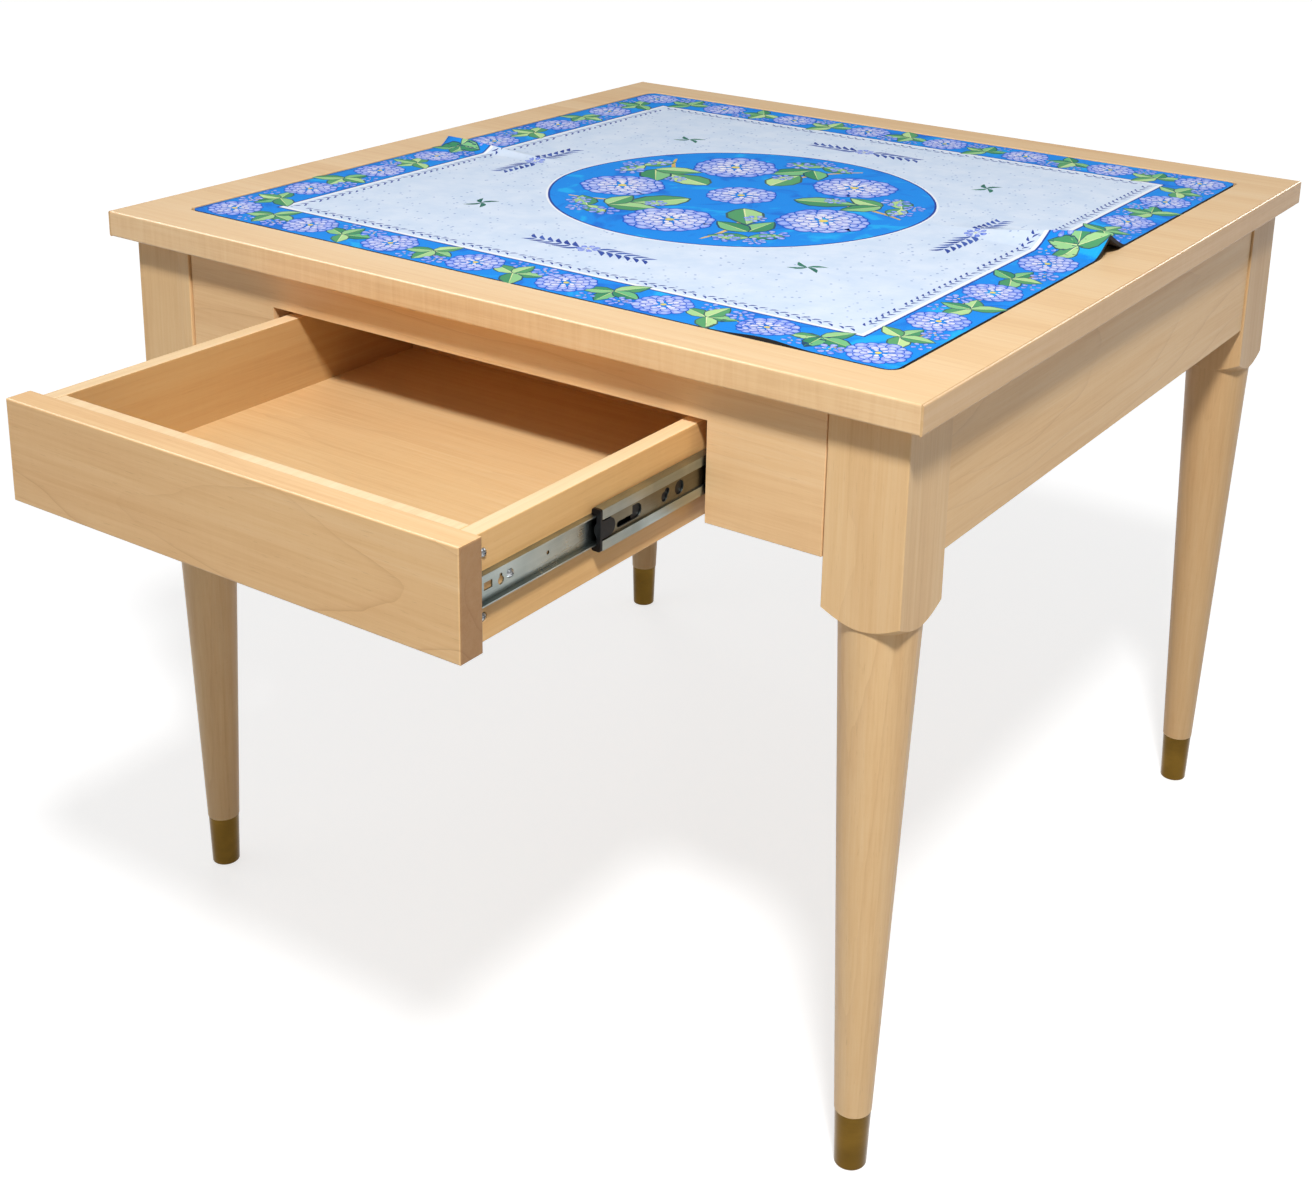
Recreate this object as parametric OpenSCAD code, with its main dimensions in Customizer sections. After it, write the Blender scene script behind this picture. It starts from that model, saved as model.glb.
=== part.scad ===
// Square game table with a recessed playing mat, turned legs and one drawer on ball slides.
// X runs along the drawer front, Y runs from the front to the back, Z is up.
// The origin is on the floor, midway between the four feet.

/* [Tabletop] */
// Width of the top
top_w = 927; // [880:1:1000]
// Depth of the top
top_d = 927; // [880:1:1000]
// Height of the top's upper face above the floor
table_h = 762; // [720:1:800]
// Thickness of the top
top_t = 26.5; // [24:0.5:34]
// Thickness of the edge bands round the top
band_t = 2.4; // [1.5:0.1:4]
// Radius of the bands' rounded arrises
band_round = 2.2; // [0.5:0.1:3.5]
// How far the top overhangs the leg blocks
overhang = 19; // [8:1:30]

/* [Playing mat] */
// Width of the mat
mat_w = 813; // [760:1:830]
// Depth of the mat
mat_d = 813; // [760:1:830]
// Thickness of the mat
mat_t = 4; // [3:0.5:6]
// Corner radius of the mat
mat_corner = 10; // [6:1:24]
// Gap between the mat's edge and the wall of its recess
mat_gap = 3; // [1:0.5:5]
// How far the mat's face lies below the top's face
mat_sink = 0.6; // [0:0.1:2]
// Eased arris round the recess
recess_ease = 0.8; // [0.3:0.1:1.5]

/* [Frame] */
// Height of the aprons
apron_h = 133.5; // [125:0.5:150]
// Thickness of the aprons
apron_t = 20; // [16:0.5:24]
// How far the aprons stand back from the blocks' faces
apron_setback = 2; // [0.5:0.5:6]
// Open joint between an apron's end and the leg block
apron_joint = 1.8; // [0.5:0.1:3]
// Radius of the boards' eased arrises
board_ease = 1.2; // [0.5:0.1:2]
// Thickness of the rails that carry the slides
rail_t = 20; // [16:0.5:24]
// How far the rails' lower edges lie above the aprons' lower edges
rail_lift = 4; // [0:0.5:10]

/* [Legs] */
// Width of the square leg blocks
block_w = 74; // [68:1:84]
// Height of a block, from the top down to its turned shoulder
block_h = 187; // [170:1:210]
// Rise of the turned shoulder for each millimetre of radius
shoulder_slope = 0.74; // [0.4:0.02:1]
// Step from the block's flat face in to the round leg
shoulder_step = 1.4; // [0.6:0.1:4]
// Radius of the round leg just above the ferrule
leg_foot_r = 17.2; // [16:0.1:20]
// Chamfer on the block's hidden corner, where the corner plate bears
block_chamfer = 21; // [14:1:24]

/* [Ferrules] */
// Height of a ferrule
ferrule_h = 59; // [45:1:80]
// Radius of a ferrule's rim
ferrule_top_r = 16.7; // [15.5:0.1:17]
// Radius of a ferrule at the floor
ferrule_foot_r = 14.9; // [13:0.1:15.5]
// Wall of a ferrule
ferrule_wall = 1.2; // [0.8:0.1:2]
// Thickness of a ferrule's base
ferrule_base = 2; // [1:0.5:4]
// Radius of the ferrule's rolled lower edge
ferrule_round = 1.6; // [0.8:0.1:2.5]

/* [Drawer] */
// Width of the opening in the front apron
opening_w = 508; // [460:1:530]
// Height of the apron's rail above the opening
head_rail = 40.5; // [34:0.5:46]
// How far the drawer is drawn out
drawer_open = 310; // [0:10:340]
// Thickness of the drawer front
front_t = 25.5; // [18:0.5:28]
// Gap at each end of the drawer front
front_side_gap = 3; // [1:0.5:4]
// Gap above the drawer front
front_top_gap = 3; // [1.5:0.5:5]
// How far the drawer front hangs below the apron, as a finger grip
front_lip = 3.5; // [0:0.5:8]
// Radius of the drawer front's eased arrises
front_ease = 1.8; // [0.8:0.1:3]
// Thickness of the drawer box's boards
box_t = 16; // [12:0.5:18]
// How far the box's lower edge lies above the front's lower edge
box_lift = 1.5; // [0.5:0.5:6]
// How far the box's upper edge lies below the front's upper edge
box_drop = 3.5; // [0.5:0.5:5]
// How much longer the box is than its slides
box_extra = 15; // [5:1:40]
// Thickness of the bottom panel
bottom_t = 6; // [4:0.5:9]
// Height of the bottom panel above the box's lower edge
bottom_lift = 9.5; // [5:0.5:12]
// Depth of the grooves that hold the bottom panel
groove_d = 6; // [4:0.5:8]

/* [Slides] */
// Length of a slide
slide_l = 450; // [420:5:480]
// Thickness of a slide, from the rail to the drawer's side
slide_t = 12.7; // [12.5:0.1:14]
// Height of the outer channel
outer_h = 45; // [44.6:0.1:47]
// Height of the middle channel
middle_h = 35; // [34.6:0.1:35.2]
// Height of the inner channel
inner_h = 25.4; // [25.2:0.1:25.8]
// Thickness of the sheet steel
sheet_t = 1.2; // [1:0.05:1.3]
// Height of the slides' centre line above the box's lower edge
slide_rise = 45; // [40:0.5:47]
// Height of the middle channel's two proud rims
rim_h = 8.5; // [6:0.5:8.5]
// Share of the drawer's travel that the middle channel makes
middle_share = 0.55; // [0.5:0.01:0.58]
// Length of the outer ball cage
outer_cage_l = 180; // [150:5:185]
// Length of the inner ball cage
inner_cage_l = 225; // [190:5:230]
// Radius of the bearing balls
ball_r = 1.7; // [1.5:0.05:1.75]

/* [Hardware] */
// Thickness of the corner plates
plate_t = 2.5; // [2:0.5:4]
// Height of the corner plates
plate_h = 80; // [70:1:90]
// Radius of the hanger bolts
bolt_r = 4; // [3:0.5:5]
// Radius of the wood screws
screw_r = 2; // [1.5:0.1:2.3]
// Radius of the wood screws' heads
head_r = 3.8; // [3:0.1:4.5]
// Height of the wood screws' heads
head_h = 2.4; // [2:0.1:3]
// Length of the wood screws below the head
screw_l = 15; // [13:0.5:16]
// Leg length of the angle brackets
bracket_l = 22; // [20:1:26]
// Thickness of the angle brackets
bracket_t = 2; // [1.5:0.5:3]
// Width of the angle brackets
bracket_w = 18; // [14:1:22]

/* [Hidden] */
$fn = 64;

// Clearance of a pressed or screwed fit, and of a part that slides past another
fit_gap = 0.05;
run_gap = 0.3;
// Overshoot of a cut through a face
over = 1;

// Levels
under_top = table_h - top_t;
apron_z = under_top - apron_h;
shoulder_z = under_top - block_h;
recess_floor = table_h - mat_sink - mat_t;
opening_top = under_top - head_rail;
rail_z = apron_z + rail_lift;
front_z = apron_z - front_lip;
front_h = opening_top - front_top_gap - front_z;
box_z = front_z + box_lift;
box_h = front_h - box_lift - box_drop;
bottom_z = box_z + bottom_lift;
slide_z = box_z + slide_rise;

// Plan: outer faces of the blocks, centres of the legs and faces of the aprons
block_x = top_w / 2 - overhang;
block_y = top_d / 2 - overhang;
leg_x = block_x - block_w / 2;
leg_y = block_y - block_w / 2;
apron_out_x = block_x - apron_setback;
apron_out_y = block_y - apron_setback;
apron_in_x = apron_out_x - apron_t;
apron_in_y = apron_out_y - apron_t;
span_x = 2 * (block_x - block_w - apron_joint);
span_y = 2 * (block_y - block_w - apron_joint);
leg_top_r = block_w / 2 - shoulder_step;
// The chamfer stays outside the turned shoulder
corner_cut = min(block_chamfer, block_w * (1 - sqrt(0.5)) - 0.5);

// Drawer: its front's back face when closed, and the same face as drawn out
front_back_closed = -apron_out_y + front_t;
front_back = front_back_closed - drawer_open;
front_w = opening_w - 2 * front_side_gap;
box_w = opening_w - 2 * slide_t;
box_l = slide_l + box_extra;
box_in_w = box_w - 2 * box_t;

// Slide section, measured from the rail's face towards the drawer
slide_front = max(front_back_closed, -apron_in_y) + 2.5;
cage_t = 0.5;
cage_gap = 0.25;
middle_x = sheet_t + cage_gap + cage_t + cage_gap + 0.1;
rim_depth = 2;
web_x = middle_x + rim_depth;
inner_cage_x = web_x + sheet_t + run_gap;
inner_x = inner_cage_x + cage_t + run_gap;
lip_h = 1.7;
channel_end = slide_t - 1.5;
middle_front = slide_front + 1;
middle_l = slide_l - 10;
middle_shift = middle_share * drawer_open;
middle_at = middle_front - middle_shift;
inner_front = front_back + 1;
outer_cage_x = sheet_t + cage_gap;
outer_cage_start = 130;
outer_cage_at = slide_front + outer_cage_start - middle_shift / 2;
inner_cage_start = 112;
inner_cage_at = middle_front + inner_cage_start - (middle_shift + drawer_open) / 2;
bumper_t = 2.6;
bumper_over = 0.6;
bumper_round = 2;
tongue_sink = 0.4;
bulge_r = 8;

// Cuts through the middle channel's web, placed from the channel's front end
notch_l = 17.5;
notch_h = 15.6;
hook_start = 24;
hook_end = 48.5;
hook_r = 2.7;
hook_end_r = 6.2;
keyhole_y = 87.2;
keyhole_r = 4.5;
small_hole_r = 3.4;
web_hole_y = [108.5, middle_l - 84, middle_l - 44];
web_hole_r = 6.3;

// Cuts through the inner channel's web, placed from the channel's front end
tab_hole = [10, 9.6, 6.3];
inner_keyhole_y = 29.4;
inner_hole_y = [5, 85];
inner_hole_r = 1.7;

// Ball rows: centres between the flanges that they run between
outer_ball_z = (outer_h / 2 - sheet_t + middle_h / 2) / 2;
inner_ball_z = (middle_h / 2 - sheet_t + inner_h / 2) / 2;
outer_ball_x = 6.4;
inner_ball_x = 8.2;
balls_per_row = 7;

// Screws at the box's corners: height above the box's lower edge and depth sunk into the side
corner_screw_places = [
    [slide_rise - outer_h / 2 - 2, 1.4],
    [slide_rise + outer_h / 2 + head_r + 0.7, 0]];
corner_screw_y = [box_t - 4.5, box_l - box_t / 2];

// Release lever on the inner channel, placed from the channel's front end
lever_start = 300;
lever_l = 52;
lever_h = 7;
lever_t = 3;
lever_x = opening_w / 2 - slide_t + sheet_t;
pivot_r = 1.5;

// Screw places along a slide, from its front end
rail_screw_y = [35, 190, slide_l - 65];
drawer_screw_y = [40, 215, slide_l - 30];
csk_r = 3.6;
csk_h = 1.8;
tip_h = 3;
tip_r = 0.4;

// Corner plate: distance from a block's hidden corner to the aprons' inner faces
corner_q = block_w - apron_setback - apron_t;
wing_l = 22;
plate_top = under_top - 20;
bolt_pitch = 44;
bolt_in = 45;
washer_t = 1.5;
washer_r = 2.2 * bolt_r;
nut_t = 1.6 * bolt_r;
nut_r = 1.8 * bolt_r;
bolt_out = plate_t + washer_t + nut_t + 3;

// Angle brackets under the top, from the table's middle line
bracket_pitch = 150;
bracket_hole = 13;
rail_bracket_z = rail_z + 14;
rail_out_x = opening_w / 2 + rail_t;

// Places of the angle brackets: position, then rotation. The board fixed to lies on local +Y and +Z.
bracket_places = [
    for (s = [-1, 1]) [[s * bracket_pitch, -apron_in_y, under_top], [0, 0, 180]],
    for (s = [-1, 1]) [[s * bracket_pitch, apron_in_y, under_top], [0, 0, 0]],
    for (s = [-1, 1]) [[apron_in_x, s * bracket_pitch, under_top], [0, 0, -90]],
    for (s = [-1, 1]) [[-apron_in_x, s * bracket_pitch, under_top], [0, 0, 90]],
    for (s = [-1, 1]) [[s * rail_out_x, -apron_in_y, rail_bracket_z], [0, s * 90, 180]],
    for (s = [-1, 1]) [[s * rail_out_x, apron_in_y, rail_bracket_z], [0, -s * 90, 0]]
];

wood = [0.86, 0.69, 0.49];
edge_wood = [0.90, 0.74, 0.55];
box_wood = [0.80, 0.66, 0.43];
brass = [0.47, 0.36, 0.14];
zinc = [0.72, 0.74, 0.77];
black = [0.07, 0.07, 0.08];

// Rectangle with round corners, centred
module rounded_rect(w, h, r) {
    square([w - 2 * r, h], center = true);
    square([w, h - 2 * r], center = true);
    for (sx = [-1, 1], sy = [-1, 1])
        translate([sx * (w / 2 - r), sy * (h / 2 - r)]) circle(r);
}

// Board from corner p with size s, its twelve arrises eased to radius r
module board(p, s, r) {
    translate(p + s / 2)
        intersection() {
            linear_extrude(s.z, center = true) rounded_rect(s.x, s.y, r);
            rotate([90, 0, 0]) linear_extrude(s.y, center = true) rounded_rect(s.x, s.z, r);
            rotate([90, 0, 90]) linear_extrude(s.x, center = true) rounded_rect(s.y, s.z, r);
        }
}

// Children drawn on the right, or mirrored to the left
module on_side(side) {
    mirror([side < 0 ? 1 : 0, 0, 0]) children();
}

// Children drawn for the back right corner, mirrored to the corner asked for
module on_corner(sx, sy) {
    mirror([sx < 0 ? 1 : 0, 0, 0]) mirror([0, sy < 0 ? 1 : 0, 0]) children();
}

// Point of a wood screw of length l
module screw_tip(l, gap) {
    translate([0, 0, l - tip_h]) cylinder(r1 = screw_r + gap, r2 = tip_r + gap, h = tip_h + gap);
}

// Wood screw along +Z with its head's bearing face at the origin; gap widens it into a pilot hole
module screw(l = screw_l, gap = 0, head = true) {
    start = head ? 0 : -head_h;
    translate([0, 0, start]) cylinder(r = screw_r + gap, h = l - tip_h - start);
    screw_tip(l, gap);
    if (head) {
        head_ball = (head_r * head_r + head_h * head_h) / (2 * head_h);
        difference() {
            intersection() {
                translate([0, 0, head_ball - head_h]) sphere(head_ball);
                translate([0, 0, -head_h]) cylinder(r = head_r, h = head_h);
            }
            for (turn = [0, 90])
                rotate([0, 0, turn]) translate([-head_r / 2, -0.4, -head_h - over])
                    cube([head_r, 0.8, over + head_h / 2]);
        }
    }
}

// Countersunk screw along +Z with its flush face at the origin
module csk_screw(gap = 0) {
    cylinder(r1 = csk_r + gap, r2 = screw_r + gap, h = csk_h);
    translate([0, 0, csk_h]) cylinder(r = screw_r + gap, h = screw_l - csk_h - tip_h);
    screw_tip(screw_l, gap);
}

// Tabletop with the recess for the mat
module recess_flare(w, d, r) {
    cut_z = table_h - recess_ease;
    for (sx = [-1, 1], sy = [-1, 1])
        translate([sx * (w / 2 - r), sy * (d / 2 - r), cut_z])
            cylinder(r1 = r, r2 = r + 2 * recess_ease, h = 2 * recess_ease);
    flare = [[0, 0], [2 * recess_ease, 2 * recess_ease], [-1, 2 * recess_ease], [-1, 0]];
    for (s = [-1, 1]) {
        mirror([s < 0 ? 1 : 0, 0, 0]) translate([w / 2, d / 2 - r, cut_z])
            rotate([90, 0, 0]) linear_extrude(d - 2 * r) polygon(flare);
        mirror([0, s < 0 ? 1 : 0, 0]) translate([w / 2 - r, d / 2, cut_z])
            rotate([90, 0, -90]) mirror([1, 0, 0]) linear_extrude(w - 2 * r) polygon(flare);
    }
}

module tabletop() {
    recess_w = mat_w + 2 * mat_gap;
    recess_d = mat_d + 2 * mat_gap;
    recess_r = mat_corner + mat_gap;
    color(wood)
        difference() {
            translate([band_t - top_w / 2, band_t - top_d / 2, under_top])
                cube([top_w - 2 * band_t, top_d - 2 * band_t, top_t]);
            translate([0, 0, recess_floor])
                linear_extrude(table_h) rounded_rect(recess_w, recess_d, recess_r);
            recess_flare(recess_w, recess_d, recess_r);
            all_bracket_screws(fit_gap, false);
        }
}

// Section of an edge band, its outer arrises rounded; it lies on +X from 0 to band_t
module band_section() {
    intersection() {
        square([band_t, top_t]);
        translate([band_t - top_t / 2, top_t / 2]) rounded_rect(top_t, top_t, band_round);
    }
}

// Side bands run the whole depth, the front and back bands between them
module side_band(side) {
    color(edge_wood) on_side(side)
        translate([top_w / 2 - band_t, top_d / 2, under_top])
            rotate([90, 0, 0]) linear_extrude(top_d) band_section();
}

module end_band(side) {
    color(edge_wood) mirror([0, side < 0 ? 1 : 0, 0])
        translate([band_t - top_w / 2, top_d / 2 - band_t, under_top])
            rotate([90, 0, 90]) linear_extrude(top_w - 2 * band_t) band_section();
}

module front_edge_band() { end_band(-1); }
module back_edge_band() { end_band(1); }
module left_edge_band() { side_band(-1); }
module right_edge_band() { side_band(1); }

// Mat lying in its recess
module playing_mat() {
    color([0.05, 0.45, 0.85])
        translate([0, 0, recess_floor]) linear_extrude(mat_t) rounded_rect(mat_w, mat_d, mat_corner);
}

// Front apron with the drawer opening, which is open below
module front_apron() {
    color(wood)
        difference() {
            board([-span_x / 2, -apron_out_y, apron_z], [span_x, apron_t, apron_h], board_ease);
            translate([-opening_w / 2, -apron_out_y - over, apron_z - over])
                cube([opening_w, apron_t + 2 * over, apron_h - head_rail + over]);
            all_bracket_screws(fit_gap, false);
            all_plate_screws(fit_gap, false);
        }
}

module back_apron() {
    color(wood)
        difference() {
            board([-span_x / 2, apron_in_y, apron_z], [span_x, apron_t, apron_h], board_ease);
            all_bracket_screws(fit_gap, false);
            all_plate_screws(fit_gap, false);
        }
}

module side_apron(side) {
    color(wood)
        difference() {
            on_side(side)
                board([apron_in_x, -span_y / 2, apron_z], [apron_t, span_y, apron_h], board_ease);
            all_bracket_screws(fit_gap, false);
            all_plate_screws(fit_gap, false);
        }
}

module left_apron() { side_apron(-1); }
module right_apron() { side_apron(1); }

// Leg: a square block whose lower end is turned to a shoulder, then a tapered round leg
function ferrule_r(z) = ferrule_foot_r + (ferrule_top_r - ferrule_foot_r) * z / ferrule_h;

module leg(sx, sy) {
    turn_r = block_w * 0.75;
    tenon_z = ferrule_base + fit_gap;
    tenon_gap = ferrule_wall + fit_gap;
    color(wood) on_corner(sx, sy)
        difference() {
            translate([leg_x, leg_y, 0])
                intersection() {
                    linear_extrude(under_top) rounded_rect(block_w, block_w, board_ease);
                    rotate_extrude()
                        polygon([
                            [0, tenon_z],
                            [ferrule_r(tenon_z) - tenon_gap, tenon_z],
                            [ferrule_r(ferrule_h) - tenon_gap, ferrule_h],
                            [leg_foot_r, ferrule_h],
                            [leg_top_r, shoulder_z],
                            [block_w / 2, shoulder_z],
                            [turn_r, shoulder_z + shoulder_slope * (turn_r - block_w / 2)],
                            [turn_r, under_top],
                            [0, under_top]]);
                }
            translate([block_x - block_w, block_y - block_w, shoulder_z - over])
                linear_extrude(block_h + 2 * over)
                    polygon([[-over, -over], [corner_cut + over, -over], [-over, corner_cut + over]]);
            corner_bolts() hanger_bolt(fit_gap);
        }
}

module front_left_leg() { leg(-1, -1); }
module front_right_leg() { leg(1, -1); }
module back_left_leg() { leg(-1, 1); }
module back_right_leg() { leg(1, 1); }

// Ferrule: a tapered brass cup with a rolled lower edge
module ferrule(sx, sy) {
    r_in = ferrule_foot_r - ferrule_round;
    color(brass)
        translate([sx * leg_x, sy * leg_y, 0])
            difference() {
                rotate_extrude() {
                    square([r_in, ferrule_round]);
                    intersection() {
                        translate([r_in, ferrule_round]) circle(ferrule_round);
                        square([ferrule_foot_r, ferrule_round]);
                    }
                    polygon([
                        [0, ferrule_round],
                        [ferrule_foot_r, ferrule_round],
                        [ferrule_top_r, ferrule_h],
                        [0, ferrule_h]]);
                }
                translate([0, 0, ferrule_base])
                    cylinder(
                        r1 = ferrule_r(ferrule_base) - ferrule_wall,
                        r2 = ferrule_r(ferrule_h) - ferrule_wall,
                        h = ferrule_h - ferrule_base);
                translate([0, 0, ferrule_h - fit_gap])
                    cylinder(r = ferrule_r(ferrule_h) - ferrule_wall, h = over);
            }
}

module front_left_ferrule() { ferrule(-1, -1); }
module front_right_ferrule() { ferrule(1, -1); }
module back_left_ferrule() { ferrule(-1, 1); }
module back_right_ferrule() { ferrule(1, 1); }

// Hardware of one corner, drawn for the back right corner
module corner_bolts() {
    for (s = [-1, 1])
        translate([
            block_x - block_w + corner_cut / 2,
            block_y - block_w + corner_cut / 2,
            plate_top - plate_h / 2 + s * bolt_pitch / 2])
            rotate([0, 90, 45]) children();
}

module hanger_bolt(gap = 0) {
    translate([0, 0, -bolt_out]) cylinder(r = bolt_r + gap, h = bolt_out + bolt_in + gap);
}

module corner_plate() {
    bend = plate_t * (sqrt(2) - 1);
    near = corner_cut - corner_q;
    translate([block_x - block_w, block_y - block_w, plate_top - plate_h])
        linear_extrude(plate_h)
            polygon([
                [near - wing_l, corner_q],
                [near, corner_q],
                [corner_q, near],
                [corner_q, near - wing_l],
                [corner_q - plate_t, near - wing_l],
                [corner_q - plate_t, near - bend],
                [near - bend, corner_q - plate_t],
                [near - wing_l, corner_q - plate_t]]);
}

module plate_screws(gap = 0, head = true) {
    near = corner_cut - corner_q;
    for (s = [-1, 1]) {
        z = plate_top - plate_h / 2 + s * plate_h / 4;
        translate([block_x - block_w + near - wing_l / 2, apron_in_y - plate_t, z])
            rotate([-90, 0, 0]) screw(gap = gap, head = head);
        translate([apron_in_x - plate_t, block_y - block_w + near - wing_l / 2, z])
            rotate([0, 90, 0]) screw(gap = gap, head = head);
    }
}

module all_plate_screws(gap = 0, head = true) {
    for (sx = [-1, 1], sy = [-1, 1])
        on_corner(sx, sy) plate_screws(gap, head);
}

module corner_plates() {
    color(zinc)
        difference() {
            for (sx = [-1, 1], sy = [-1, 1])
                on_corner(sx, sy) corner_plate();
            for (sx = [-1, 1], sy = [-1, 1])
                on_corner(sx, sy) corner_bolts() hanger_bolt(fit_gap);
            all_plate_screws(fit_gap, false);
        }
}

module hanger_bolts() {
    color(zinc)
        for (sx = [-1, 1], sy = [-1, 1])
            on_corner(sx, sy) corner_bolts() hanger_bolt();
}

module hanger_washers() {
    color(zinc)
        for (sx = [-1, 1], sy = [-1, 1])
            on_corner(sx, sy) corner_bolts()
                translate([0, 0, -plate_t - washer_t])
                    difference() {
                        cylinder(r = washer_r, h = washer_t);
                        translate([0, 0, -over]) cylinder(r = bolt_r + fit_gap, h = washer_t + 2 * over);
                    }
}

module hanger_nuts() {
    color(zinc)
        for (sx = [-1, 1], sy = [-1, 1])
            on_corner(sx, sy) corner_bolts()
                translate([0, 0, -plate_t - washer_t - nut_t])
                    difference() {
                        cylinder(r = nut_r, h = nut_t, $fn = 6);
                        translate([0, 0, -over]) cylinder(r = bolt_r + fit_gap, h = nut_t + 2 * over);
                    }
}

module corner_plate_screws() {
    color(zinc) all_plate_screws();
}

// Angle brackets hold the top to the aprons and the slide rails to the aprons
module bracket() {
    difference() {
        union() {
            translate([-bracket_w / 2, -bracket_t, -bracket_l]) cube([bracket_w, bracket_t, bracket_l]);
            translate([-bracket_w / 2, -bracket_l, -bracket_t]) cube([bracket_w, bracket_l, bracket_t]);
        }
        bracket_screws(fit_gap, false);
    }
}

module bracket_screws(gap = 0, head = true) {
    translate([0, -bracket_t, -bracket_hole]) rotate([-90, 0, 0]) screw(gap = gap, head = head);
    translate([0, -bracket_hole, -bracket_t]) screw(gap = gap, head = head);
}

module at_brackets() {
    for (place = bracket_places)
        translate(place[0]) rotate(place[1]) children();
}

module all_bracket_screws(gap = 0, head = true) {
    at_brackets() bracket_screws(gap, head);
}

module angle_brackets() {
    color(zinc) at_brackets() bracket();
}

module angle_bracket_screws() {
    color(zinc) all_bracket_screws();
}

// Rails that carry the slides, from the front apron to the back one
module slide_rail(side) {
    color(box_wood)
        difference() {
            on_side(side)
                translate([opening_w / 2, -apron_in_y, rail_z])
                    cube([rail_t, 2 * apron_in_y, under_top - rail_z]);
            all_bracket_screws(fit_gap, false);
            on_side(side) rail_screws(fit_gap);
        }
}

module left_slide_rail() { slide_rail(-1); }
module right_slide_rail() { slide_rail(1); }

// A slide is drawn on the right. In its section x is measured from the rail towards the drawer.
module slide_section(front, l) {
    translate([opening_w / 2, front, slide_z])
        rotate([90, 0, 0]) mirror([1, 0, 0]) mirror([0, 0, 1]) linear_extrude(l) children();
}

// Hole along +X through a web
module web_hole(y, z, r, depth) {
    translate([0, y, z]) rotate([0, 90, 0]) cylinder(r = r, h = depth);
}

// Section drawn from its upper half: the outline from the web's outer face round to its inner face
module section(upper) {
    polygon(concat(upper, [for (i = [len(upper) - 1 : -1 : 0]) [upper[i].x, -upper[i].y]]));
}

// Channel of height h with its web's outer face at x_web and its mouth at x_open
module channel(x_web, x_open, h, t) {
    section([
        [x_web, h / 2],
        [x_open, h / 2],
        [x_open, h / 2 - t],
        [x_web + sign(x_open - x_web) * t, h / 2 - t]]);
}

// End of an upper flange with its lip, at the mouth of a channel of height h
function lip(h) = [
    [channel_end, h / 2],
    [channel_end, h / 2 - sheet_t - lip_h],
    [channel_end - sheet_t, h / 2 - sheet_t - lip_h],
    [channel_end - sheet_t, h / 2 - sheet_t]];

module rail_screws(gap = 0) {
    for (y = rail_screw_y)
        translate([opening_w / 2 - sheet_t, slide_front + y, slide_z])
            rotate([0, 90, 0]) csk_screw(gap);
}

module slide_outer(side) {
    color(zinc) on_side(side)
        difference() {
            slide_section(slide_front, slide_l)
                section(concat([[0, outer_h / 2]], lip(outer_h), [[sheet_t, outer_h / 2 - sheet_t]]));
            rail_screws(fit_gap);
        }
}

module left_slide_outer() { slide_outer(-1); }
module right_slide_outer() { slide_outer(1); }

module slide_rail_screws() {
    color(zinc)
        for (side = [-1, 1])
            on_side(side) rail_screws();
}

// Middle channel: two proud rims, a recessed web with a hooked slot, a keyhole and round holes
module slide_middle(side) {
    web_top = middle_h / 2 - rim_h;
    color(zinc) on_side(side)
        difference() {
            slide_section(middle_at, middle_l)
                section(concat(
                    [[web_x, web_top], [middle_x, web_top], [middle_x, middle_h / 2]],
                    lip(middle_h),
                    [[middle_x + sheet_t, middle_h / 2 - sheet_t], [middle_x + sheet_t, web_top + sheet_t],
                        [web_x + sheet_t, web_top + sheet_t]]));
            translate([opening_w / 2 - web_x - sheet_t - over, middle_at, slide_z])
                middle_cuts(sheet_t + 2 * over);
        }
}

// Outline with a round back end, for the notch and for the tongue in it
module notch(l, h, depth) {
    translate([0, -over, -h / 2]) cube([depth, l - h / 2 + over, h]);
    web_hole(l - h / 2, 0, h / 2, depth);
}

module middle_cuts(depth) {
    hook_z = hook_r - hook_end_r;
    notch(notch_l, notch_h, depth);
    web_hole(hook_start, hook_z, hook_r, depth);
    translate([0, hook_start, -hook_end_r]) cube([depth, hook_end - hook_start, 2 * hook_r]);
    translate([0, hook_end - hook_end_r, -hook_end_r]) cube([depth, hook_end_r, 2 * hook_end_r]);
    web_hole(hook_end, 0, hook_end_r, depth);
    web_hole(keyhole_y, -keyhole_r / 4, keyhole_r, depth);
    web_hole(keyhole_y + small_hole_r, keyhole_r / 2, small_hole_r, depth);
    for (y = web_hole_y)
        web_hole(y, 0, web_hole_r, depth);
}

module left_slide_middle() { slide_middle(-1); }
module right_slide_middle() { slide_middle(1); }

// Black bumper on the middle channel's front end. A bulge of it reaches into the inner channel,
// clear of the screw heads there, and a tongue fills the web's notch.
module bumper_section() {
    cap_h = middle_h + 2 * bumper_over;
    pass_x = inner_x - run_gap;
    bulge_x = slide_t - sheet_t - head_h - run_gap - bulge_r;
    difference() {
        translate([(middle_x + channel_end) / 2, 0])
            rounded_rect(channel_end - middle_x, cap_h, bumper_round);
        translate([pass_x, -inner_h / 2 - run_gap]) square([slide_t, inner_h + 2 * run_gap]);
    }
    intersection() {
        translate([bulge_x, 0]) circle(bulge_r);
        translate([pass_x - over, -bulge_r]) square(2 * bulge_r);
    }
}

module slide_bumper(side) {
    tongue_t = web_x + sheet_t - middle_x - tongue_sink;
    color(black) on_side(side) {
        slide_section(middle_at - bumper_t, bumper_t) bumper_section();
        translate([opening_w / 2 - web_x - sheet_t, middle_at, slide_z])
            notch(notch_l - run_gap, notch_h - 2 * run_gap, tongue_t);
    }
}

module left_slide_bumper() { slide_bumper(-1); }
module right_slide_bumper() { slide_bumper(1); }

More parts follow.
